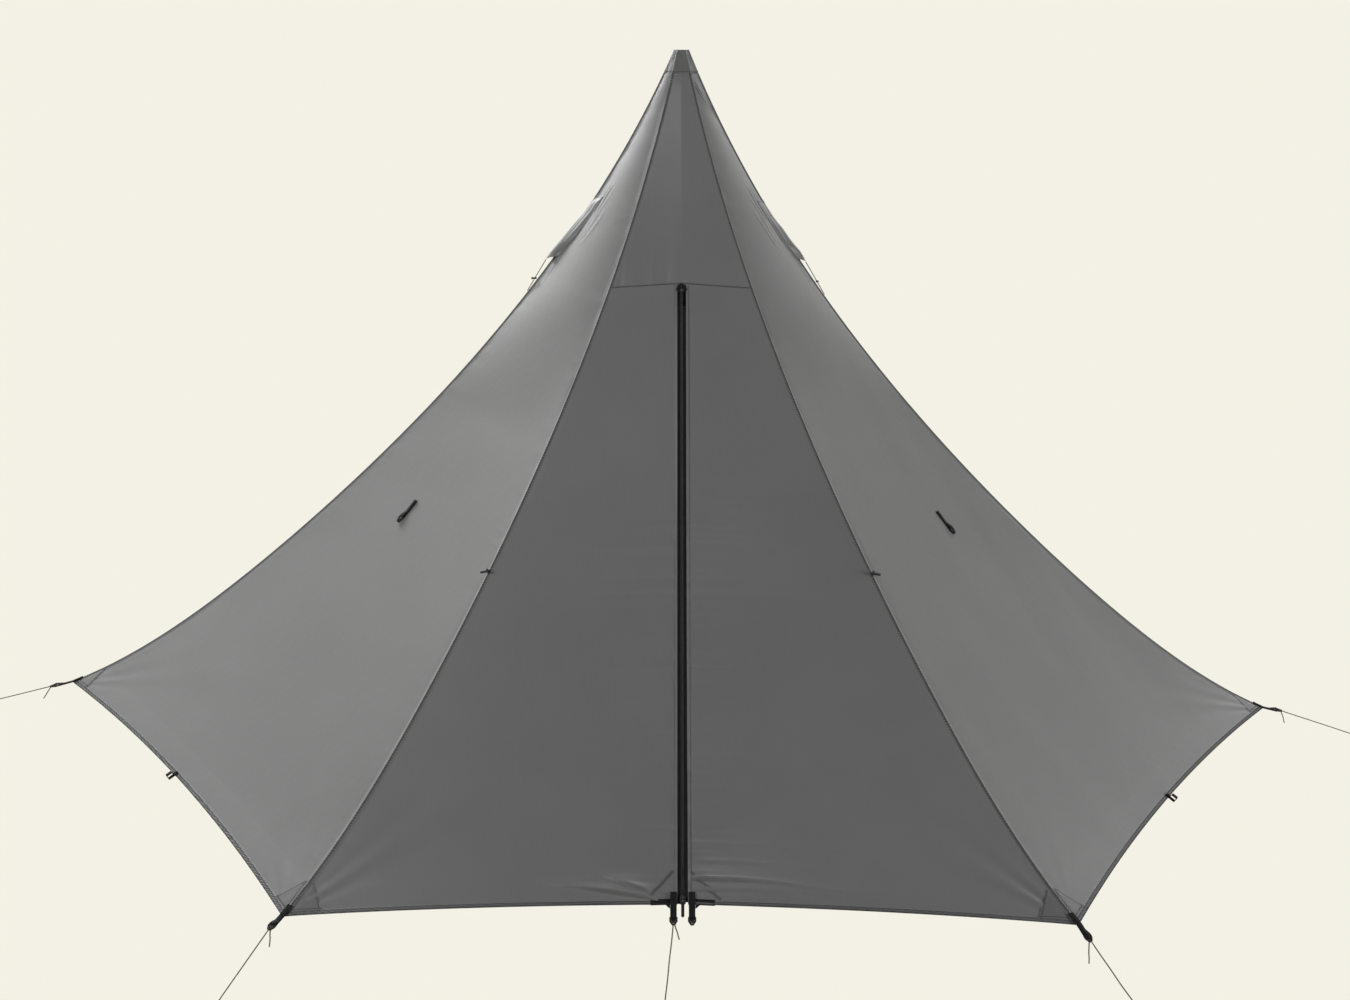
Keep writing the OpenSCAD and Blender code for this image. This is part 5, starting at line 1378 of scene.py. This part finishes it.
# the strip's rings of points from its lower edge to its middle: size and height
STRIP_RINGS = [(1.0, 0.0002), (1.0, 0.0011), (0.975, 0.0015), (0.6, 0.0015), (0.0, 0.0015)]
FOOT_ASIDE = ZIP_HALF + FOOT_GAP + WEB_W / 2
for side, name in ((-1, "left"), (1, "right")):
    web, work = Batch(), Batch()
    origin = at_zip(zip_length, side * FOOT_ASIDE, 0.0) + foot_normal * 0.0006
    m = frame_matrix(origin, foot_x, np.cross(foot_normal, foot_x), foot_normal)
    web_loop(web, work, m, 0.028, 0.032, 0, LOCK_T, 0.002)
    base, far = door_place(side, 1.0, 0.0), door_place(side, 1.0, 1.0)
    upper = door_place(side, hem_start, 0.0)
    x = (far - base) / np.linalg.norm(far - base)
    down = (base - upper) / np.linalg.norm(base - upper)
    normal = np.cross(x, down)
    normal *= np.sign(normal @ DOOR_OUT) / np.linalg.norm(normal)
    start = FOOT_GAP + WEB_W + 0.0003
    end = start + STRIP_LONG
    outline = [(start, -STRIP_HIGH), (end, -STRIP_HIGH), (end, 0), (start + STRIP_CUT, 0), (start, STRIP_CUT)]
    ring = densify(outline + [outline[0]], 0.0016)[:-1]
    centre = np.array([start + 0.008, -0.0045])
    verts, uvs = [], []
    for scale, height in STRIP_RINGS:
        for q in centre + (ring - centre) * scale:
            rib = 0.00008 * math.sin(q[0] / 0.0006)
            verts.append(base + x * q[0] + down * q[1] + normal * (height + rib))
            uvs.append((q[0], q[1]))
    web.add(verts, ring_faces(len(STRIP_RINGS) - 1, len(ring)), uvs)
    sewn = [(start + 0.003, -0.0116), (start + 0.036, -0.0116), (start + 0.036, -0.0016),
            (start + 0.003, -0.0016)]
    pts = [base + x * q[0] + down * q[1] + normal * 0.0016 for q in densify(sewn, 0.002)]
    stitches(work, pts, np.broadcast_to(normal, (len(pts), 3)), WEB_THREAD)
    sewn_on(web, work, f"door_foot_webbing_{name}", f"door_foot_stitches_{name}",
            f"door_foot_strap_{name}", BODY_OF[name])

# ---- patches at the peak and the corners --------------------------------------------
patch_cloth = Cloth()
patch_work = Batch()
for k in range(6):
    nxt = (k + 1) % 6
    t = np.linspace(0, PATCH_FOOT, 12)[:, None]
    u = np.linspace(0, 1, 13)[None, :]
    a, b = on_ridge(k, t), on_ridge(nxt, t)
    p = a * (1 - u[..., None]) + b * u[..., None]
    near = np.minimum(reach_to(p, p[:, :1]), reach_to(p, p[:, -1:]))
    rise = 0.0011 + 0.0006 * gauss(near, 0.004)
    rise = rise + 0.0006 * noise2(u * 6 + k, t / 0.01, 90 + k) * np.sin(math.pi * u)
    rise = rise * np.clip((PATCH_FOOT + 0.002 - t) / 0.004, 0.3, 1)
    p = skin(p, rise[..., None])
    patch_cloth.add(p, flip=True)
    n = grid_normals(p)
    stitches(patch_work, p[-2], n[-2], PATCH_THREAD, 0.0005)
peak = patch_cloth.build("peak_reinforcement", [LOOKS["patch"]], thick=0.0005)
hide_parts("peak_patch")

CAP_RINGS, CAP_TURNS = 9, 48
verts = []
for i in range(CAP_RINGS + 1):
    f = i / CAP_RINGS
    for j in range(CAP_TURNS):
        a = 2 * math.pi * j / CAP_TURNS
        hexagon = math.cos(math.pi / 6) / math.cos(a % (math.pi / 3) - math.pi / 6)
        r = PEAK_R * 1.03 * hexagon * f + 0.0001
        z = HEIGHT + 0.0014 - 0.0014 * f**6 + 0.0003 * math.sin(a * 5 + 2) * f
        verts.append((r * math.cos(a), r * math.sin(a), z))
faces = ring_faces(CAP_RINGS, CAP_TURNS)
uvs = [v[:2] for v in verts]
cap = mesh_object("peak_cap_cloth", verts, faces, LOOKS["patch"], uv=uvs)
cap.modifiers.new("thickness", "SOLIDIFY").thickness = 0.0008
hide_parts("peak_cap")

PATCH_ACROSS, PATCH_ASIDE = 0.045, 0.004
corner_cloth = Cloth()


def corner_patch(edge):
    """A triangle of cloth in a panel's lower corner; edge gives the place at a height and aside."""
    g = [edge(corner_row, PATCH_ASIDE), edge(hem_start, PATCH_ASIDE), edge(hem_start, PATCH_ACROSS)]
    i = np.linspace(0, 1, 14)[:, None, None]
    j = np.linspace(0, 1, 10)[None, :, None]
    p = g[0] * (1 - i) + (g[1] * (1 - j) + g[2] * j) * i
    rim = np.minimum(np.minimum(j[..., 0], 1 - j[..., 0]) * i[..., 0] * 9, (1 - i[..., 0]) * 12)
    rise = 0.0008 + 0.0004 * np.clip(rim, 0, 1) + 0.0003 * noise2(i[..., 0] * 4, j[..., 0] * 3, 12)
    p = skin(p, rise[..., None])
    corner_cloth.add(p)
    n = grid_normals(p)
    stitches(patch_work, p[:, -2], n[:, -2], CORNER_THREAD, 0.0004)
    stitches(patch_work, p[-2], n[-2], CORNER_THREAD, 0.0004)


def first_cell(k, nxt):
    """Places in the first sixth of a side or back panel beside ridge k."""
    def edge(t, u):
        a, b = on_side(k, nxt, np.array(t), np.array(0.0)), on_side(k, nxt, np.array(t), np.array(1 / 6))
        return a + (b - a) * u * 6
    return edge


def front_edge(k):
    """The same on a front panel, towards the door's line."""
    def edge(t, u):
        a, b = seam_line(k, None, np.array(t), SEAM_HALF), on_door_line(t)
        return a + (b - a) * 2 * u
    return edge


for k in (LEFT, FRONT_RIGHT, RIGHT, BACK_RIGHT, BACK_LEFT):
    corner_patch(first_cell(k, (k + 1) % 6))
for k in (LEFT, FRONT_LEFT, RIGHT, BACK_RIGHT, BACK_LEFT):
    corner_patch(first_cell(k, (k + 5) % 6))
for k in (FRONT_LEFT, FRONT_RIGHT):
    corner_patch(front_edge(k))
# two rows of coarse stitches across the top of the right front panel, below the peak's patch
share = np.linspace(0, 1, 24)
for (t_from, u_from), (t_to, u_to) in (((0.045, 0.16), (0.085, 0.94)), ((0.052, 0.1), (0.096, 0.94))):
    pts = on_side(FRONT_RIGHT, RIGHT, t_from + (t_to - t_from) * share, u_from + (u_to - u_from) * share)
    stitches(patch_work, *lifted(pts, 0.0012), BRACE_THREAD)
corners = corner_cloth.build("corner_reinforcements", [LOOKS["patch"]], thick=0.0004)
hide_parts("corner_patches")
patch_work.build("patch_stitches", LOOKS["dark_thread"], smooth=False)

# ---- zip ----------------------------------------------------------------------------
TOOTH_OVER, TOOTH_HALF, TOOTH_PITCH, TOOTH_SIDES = 0.0006, 0.0008, 0.002, 6
ZIP_TAIL, PARK, CHAIN_GAP = 0.004, 0.019, 0.0012
COIL_W, COIL_T, TAPE_W, TAPE_T = 0.0024, 0.0026, 0.016, 0.0008


def tape(name, runs, side, body, replaced):
    """One side of the zip's woven tape between two places along the zip."""
    at = np.arange(runs[0], runs[1], 0.004)
    at = np.append(at, runs[1])
    across = [CHAIN_GAP + 0.0004, CHAIN_GAP + COIL_W, 0.005, 0.009, 0.0125, 0.0160, CHAIN_GAP + TAPE_W]
    p = np.stack([at_zip(at, side * a, ZIP_DEPTH - 0.0002 * math.sin(i * 1.9))
                  for i, a in enumerate(across)], 1)
    cloth = Cloth()
    cloth.add(p)
    obj = cloth.build(name, [LOOKS["tape"]], body, TAPE_T)
    if replaced:
        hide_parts(*replaced)


zip_end = zip_length - ZIP_TAIL
tape("zip_tape_cloth_left", (-0.004, zip_end), -1, "tent", ("zip_tape_left",))
tape("zip_tape_cloth_right", (FLAP_RUN + 0.0005, zip_end - 0.004), 1, "door", ("zip_tape_right",))
tape("zip_tape_cloth_head", (-0.004, FLAP_RUN - 0.0003), 1, "tent", ())

# a strip of tape behind the coils, so that no light shows between their turns
behind, runs = Cloth(), np.arange(0.002, zip_end, 0.006)
behind.add(np.stack([at_zip(runs, a, ZIP_DEPTH + COIL_T / 2 + 0.00003)
                     for a in (-0.0034, -0.001, 0.0, 0.0014)], 1))
behind.build("zip_backing", [LOOKS["tape"]], "tent", 0.0003)


def teeth(name, runs, side, body, replaced):
    """The coil's turns: one rounded bead across the chain after another."""
    batch = Batch()
    angles = np.linspace(0, 2 * math.pi, TOOTH_SIDES + 1)[:-1]
    profile = ((-TOOTH_OVER, 0.55), (CHAIN_GAP + 0.0004, 1.0), (CHAIN_GAP + COIL_W - 0.0004, 1.0),
               (CHAIN_GAP + COIL_W, 0.7))
    for run in np.arange(runs[0] + (0.0005 if side > 0 else 0.0015), runs[1], TOOTH_PITCH):
        verts = [at_zip(run + math.cos(a) * TOOTH_HALF * size, side * x,
                        ZIP_DEPTH + math.sin(a) * COIL_T / 2 * size) for x, size in profile for a in angles]
        batch.add(verts, ring_faces(len(profile) - 1, TOOTH_SIDES, capped=True))
    obj = batch.build(name, LOOKS["coil"], body)
    if replaced:
        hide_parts(*replaced)


teeth("zip_teeth_left", (0.003, zip_end), -1, "tent", ("zip_coil_left",))
teeth("zip_teeth_right", (FLAP_RUN + 0.0005, zip_end - PARK + 0.004), 1, "door", ("zip_coil_right",))
teeth("zip_teeth_head", (0.003, FLAP_RUN - 0.001), 1, "tent", ("zip_end_tab",))

# the bartack where the folded tape ends are sewn down over the zip's head
tack, tack_work = Batch(), Batch()
TACK_HALF, TACK_TOP, TACK_FOOT = 0.0135, -0.003, 0.023
# its rings of points from the edge to the middle: size and height
TACK_RINGS = [(1.0, -0.0004), (1.0, 0.0007), (0.9, 0.0010), (0.5, 0.0011), (0.0, 0.0011)]
for side in (-1, 1):
    outline = [(0.0004, TACK_TOP), (TACK_HALF * 0.55, TACK_TOP + 0.004), (TACK_HALF, TACK_FOOT * 0.55),
               (TACK_HALF * 0.62, TACK_FOOT), (0.0062, TACK_FOOT * 0.62), (0.0004, 0.004)]
    ring = densify(outline + [outline[0]], 0.0014)[:-1]
    centre = np.array([TACK_HALF * 0.55, TACK_FOOT * 0.42])
    verts = []
    for scale, height in TACK_RINGS:
        for a, run in centre + (ring - centre) * scale:
            verts.append(at_zip(run, side * a, -height - 0.0008 - 0.0003 * math.sin(run / 0.002)))
    tack.add(verts, ring_faces(len(TACK_RINGS) - 1, len(ring)))
    line = [at_zip(run, side * a, -0.0019) for a, run in centre + (ring - centre) * 0.82]
    stitches(tack_work, line, np.broadcast_to(DOOR_OUT, (len(line), 3)), WEB_THREAD)
tack.build("zip_head_tack", LOOKS["webbing"])
tack_work.build("zip_head_stitches", LOOKS["dark_thread"], smooth=False)

# ---- small hardware keeps its CAD form, with worn edges -----------------------------
EDGES = {
    0.0003: ("top_slider", "bottom_slider"),
    0.0004: ("top_pull", "bottom_pull", "peak_cup"),
    0.0005: ("corner_locks", "pullout_locks", "door_foot_lock_left", "door_foot_lock_right"),
    0.0006: ("pole_foot",),
}
for width, names in EDGES.items():
    for name in names:
        bevel = nodes[name].modifiers.new("edges", "BEVEL")
        bevel.width, bevel.segments = width, 2
        bevel.limit_method, bevel.angle_limit = "ANGLE", math.radians(40)

# ---- guylines -----------------------------------------------------------------------
LINES = {
    "left": [(-1.68, 0, 0.129), (-1.78, 0, 0.103), (-1.88, 0, 0.078),
             (-1.98, 0, 0.052), (-2.08, 0, 0.027), (-2.172, 0, 0.004)],
    "right": [(1.593, 0, 0.073), (1.635, 0, 0.059), (1.677, 0, 0.045),
              (1.719, 0, 0.031), (1.76, 0, 0.017), (1.798, 0, 0.004)],
    "front_left": [(-0.81, -1.402, 0.104), (-0.827, -1.432, 0.084), (-0.844, -1.461, 0.064),
                   (-0.861, -1.491, 0.044), (-0.878, -1.52, 0.024), (-0.894, -1.548, 0.004)],
    "front_right": [(0.821, -1.421, 0.097), (0.837, -1.449, 0.078), (0.853, -1.477, 0.06),
                    (0.869, -1.505, 0.041), (0.886, -1.533, 0.023), (0.901, -1.56, 0.004)],
    "door": [(-0.004, -1.421, 0.128), (-0.007, -1.45, 0.103), (-0.011, -1.48, 0.078),
             (-0.014, -1.51, 0.053), (-0.018, -1.539, 0.028), (-0.021, -1.568, 0.004)],
}
TAILS = {
    "left": [(-1.68, -0.003, 0.127), (-1.685, -0.004, 0.12), (-1.69, -0.005, 0.112),
             (-1.695, -0.006, 0.104), (-1.7, -0.007, 0.097)],
    "right": [(1.593, -0.003, 0.071), (1.596, -0.004, 0.064), (1.599, -0.005, 0.056),
              (1.601, -0.006, 0.048), (1.603, -0.007, 0.041)],
    "front_left": [(-0.807, -1.404, 0.102), (-0.808, -1.405, 0.094), (-0.808, -1.406, 0.085),
                   (-0.809, -1.407, 0.076), (-0.81, -1.408, 0.068)],
    "front_right": [(0.818, -1.423, 0.095), (0.818, -1.424, 0.085), (0.818, -1.425, 0.073),
                    (0.819, -1.426, 0.061), (0.819, -1.427, 0.05)],
    "door": [(-0.001, -1.421, 0.127), (0.001, -1.422, 0.119), (0.004, -1.423, 0.111),
             (0.006, -1.424, 0.103), (0.008, -1.425, 0.096)],
}
LOOP_R = 0.013


def free_cord(name, points):
    """A cord along a smooth line through its points."""
    path = smooth_line(points, 24)
    verts, faces, uvs = tube(path, LINE_D / 2, 12)
    obj = mesh_object(name, verts, faces, LOOKS["cord"], uv=uvs)
    round(float(run_of(path)[-1]), 3)
    return obj


for name, points in LINES.items():
    end = np.array(points[-1])
    out = flat_out(end)
    side = np.array([-out[1], out[0], 0])
    centre = end + out * LOOP_R
    batch = Batch()
    up = np.array([0, 0, 1])
    ring = [centre + (side * math.sin(a) - out * math.cos(a)) * LOOP_R + up * (LINE_D / 2 - end[2])
            for a in np.linspace(0.05, 2 * math.pi - 0.05, 40)]
    batch.add(*tube(ring, LINE_D / 2, 12))
    knot = [end + out * math.cos(a * 2) * 0.0017 + side * math.sin(a) * 0.0019
            + up * (math.cos(a * 3) * 0.0012 - 0.0009) for a in np.linspace(0, 2 * math.pi, 40)]
    batch.add(*tube(knot, LINE_D * 0.42, 10))
    loop = batch.build(f"peg_loop_{name}", LOOKS["cord"])
    if name == "left":
        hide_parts("peg_loops")
    line = free_cord(f"line_{name}", points)
    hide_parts(f"guyline_{name}")
    tail = free_cord(f"line_tail_{name}", TAILS[name])
    if name == "left":
        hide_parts("line_tails")

# ---- the sheets' areas, rounded and clamped -----------------------------------------
round(min(flap_cloth.area, 1.33), 2)
round(min(patch_cloth.area, 0.03), 4)
round(max(0.015, min(corner_cloth.area, 0.05)), 4)

# ---- floor, backdrop and light ------------------------------------------------------
BACKGROUND = linear((243, 241, 229))
FLOOR_TONE, FLOOR_DROP, GLOW = (0.72, 0.71, 0.67, 1), 0.004, 0.06


def camera_only(tree, camera_shader, other_shader, out):
    """Shows the camera one shader and everything else another."""
    path = tree.nodes.new("ShaderNodeLightPath")
    mixer = tree.nodes.new("ShaderNodeMixShader")
    tree.links.new(path.outputs["Is Camera Ray"], mixer.inputs[0])
    tree.links.new(other_shader, mixer.inputs[1])
    tree.links.new(camera_shader, mixer.inputs[2])
    tree.links.new(mixer.outputs[0], out)


world = bpy.data.worlds.new("world")
bpy.context.scene.world = world
world.use_nodes = True
world_tree = world.node_tree
seen, glow = world_tree.nodes["Background"], world_tree.nodes.new("ShaderNodeBackground")
seen.inputs["Color"].default_value = (*BACKGROUND, 1)
glow.inputs["Color"].default_value = (1, 1, 1, 1)
glow.inputs["Strength"].default_value = GLOW
surface = world_tree.nodes["World Output"].inputs["Surface"]
camera_only(world_tree, seen.outputs[0], glow.outputs[0], surface)

bpy.ops.mesh.primitive_plane_add(size=60, location=(0, 0, -FLOOR_DROP))
floor = bpy.context.object
floor.name = "floor"
floor_look = bpy.data.materials.new("floor")
floor_look.use_nodes = True
floor_tree = floor_look.node_tree
plain = floor_tree.nodes["Principled BSDF"]
plain.inputs["Base Color"].default_value = FLOOR_TONE
plain.inputs["Roughness"].default_value = 0.9
shine = floor_tree.nodes.new("ShaderNodeEmission")
shine.inputs["Color"].default_value = (*BACKGROUND, 1)
surface = floor_tree.nodes["Material Output"].inputs["Surface"]
camera_only(floor_tree, shine.outputs[0], plain.outputs[0], surface)
floor.data.materials.append(floor_look)
floor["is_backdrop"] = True


LIGHTS_AIM, LIGHT_SIZE = Vector((0, 0, 0.8)), 2.6


def area_light(name, at, power):
    data = bpy.data.lights.new(name, "AREA")
    data.shape, data.size, data.energy = "DISK", LIGHT_SIZE, power
    obj = bpy.data.objects.new(name, data)
    obj.location = at
    obj.rotation_euler = (LIGHTS_AIM - Vector(at)).to_track_quat("-Z", "Y").to_euler()
    bpy.context.scene.collection.objects.link(obj)


area_light("key", (-4.9, -2.8, 4.05), 265)
area_light("fill", (5.6, -3.2, 1.4), 265)
area_light("rim_left", (-2.8, 4.9, 4.05), 330)
area_light("rim_right", (2.8, 4.9, 4.05), 100)
bpy.context.scene.view_settings.view_transform = "Standard"

# ---- how far each thing shows from its image point ----------------------------------
bpy.context.view_layer.update()


def spread(names):
    """Where all the points of some objects show, in image pixels."""
    xs, ys = [], []
    depsgraph = bpy.context.evaluated_depsgraph_get()
    inverse = np.array(camera.matrix_world.inverted())
    for name in names:
        obj = bpy.data.objects.get(name) or nodes[name]
        mesh = obj.evaluated_get(depsgraph).data
        co = np.zeros(len(mesh.vertices) * 3)
        mesh.vertices.foreach_get("co", co)
        co = co.reshape(-1, 3)
        m = np.array(obj.matrix_world)
        co = co @ m[:3, :3].T + m[:3, 3]
        q = co @ inverse[:3, :3].T + inverse[:3, 3]
        scale = max(IMAGE_W, IMAGE_H) * cam_data.lens / cam_data.sensor_width / -q[:, 2]
        xs.append(IMAGE_W / 2 + q[:, 0] * scale)
        ys.append(IMAGE_H / 2 - q[:, 1] * scale)
    return np.concatenate(xs), np.concatenate(ys)


def off(name, p):
    """How far a point of the row frame shows from its image point."""
    x, y = image_of(p)
    px, py = POINTS[name]
    return [round(float(x - px), 1), round(float(y - py), 1)]


x, y = spread(["canopy", "peak_cap_cloth", "corner_webbing", "door_right"])
lock_x, lock_y = spread(["corner_locks"])
for name, k in (("corner_left", LEFT), ("corner_front_left", FRONT_LEFT),
                ("corner_front_right", FRONT_RIGHT), ("corner_right", RIGHT)):
    off(name, on_ridge(k, 1))
for name, k in (("hood_tip_left", LEFT), ("hood_tip_right", RIGHT)):
    p = on_ridge(k, HOOD_TIP[k])
    off(name, p + flat_out(p) * HOOD_RISE[k])
off("zip_tack", on_door_line(DOOR_TOP + 0.002))
off("zip_foot", on_door_line(1))
for name in ("tie_left", "tie_right"):
    low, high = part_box(name.replace("tie", "tie_toggle"))
    off(name, (np.array(low) + np.array(high)) / 2)
for name, k, nxt in (("pullout_left", LEFT, FRONT_LEFT), ("pullout_right", RIGHT, FRONT_RIGHT)):
    m = panel_frame(k, nxt, PULL_T, PULL_U)
    off(name, moved(m, PULL_SEWN + 0.017, 0, 0.004)[:3, 3])
low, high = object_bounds()
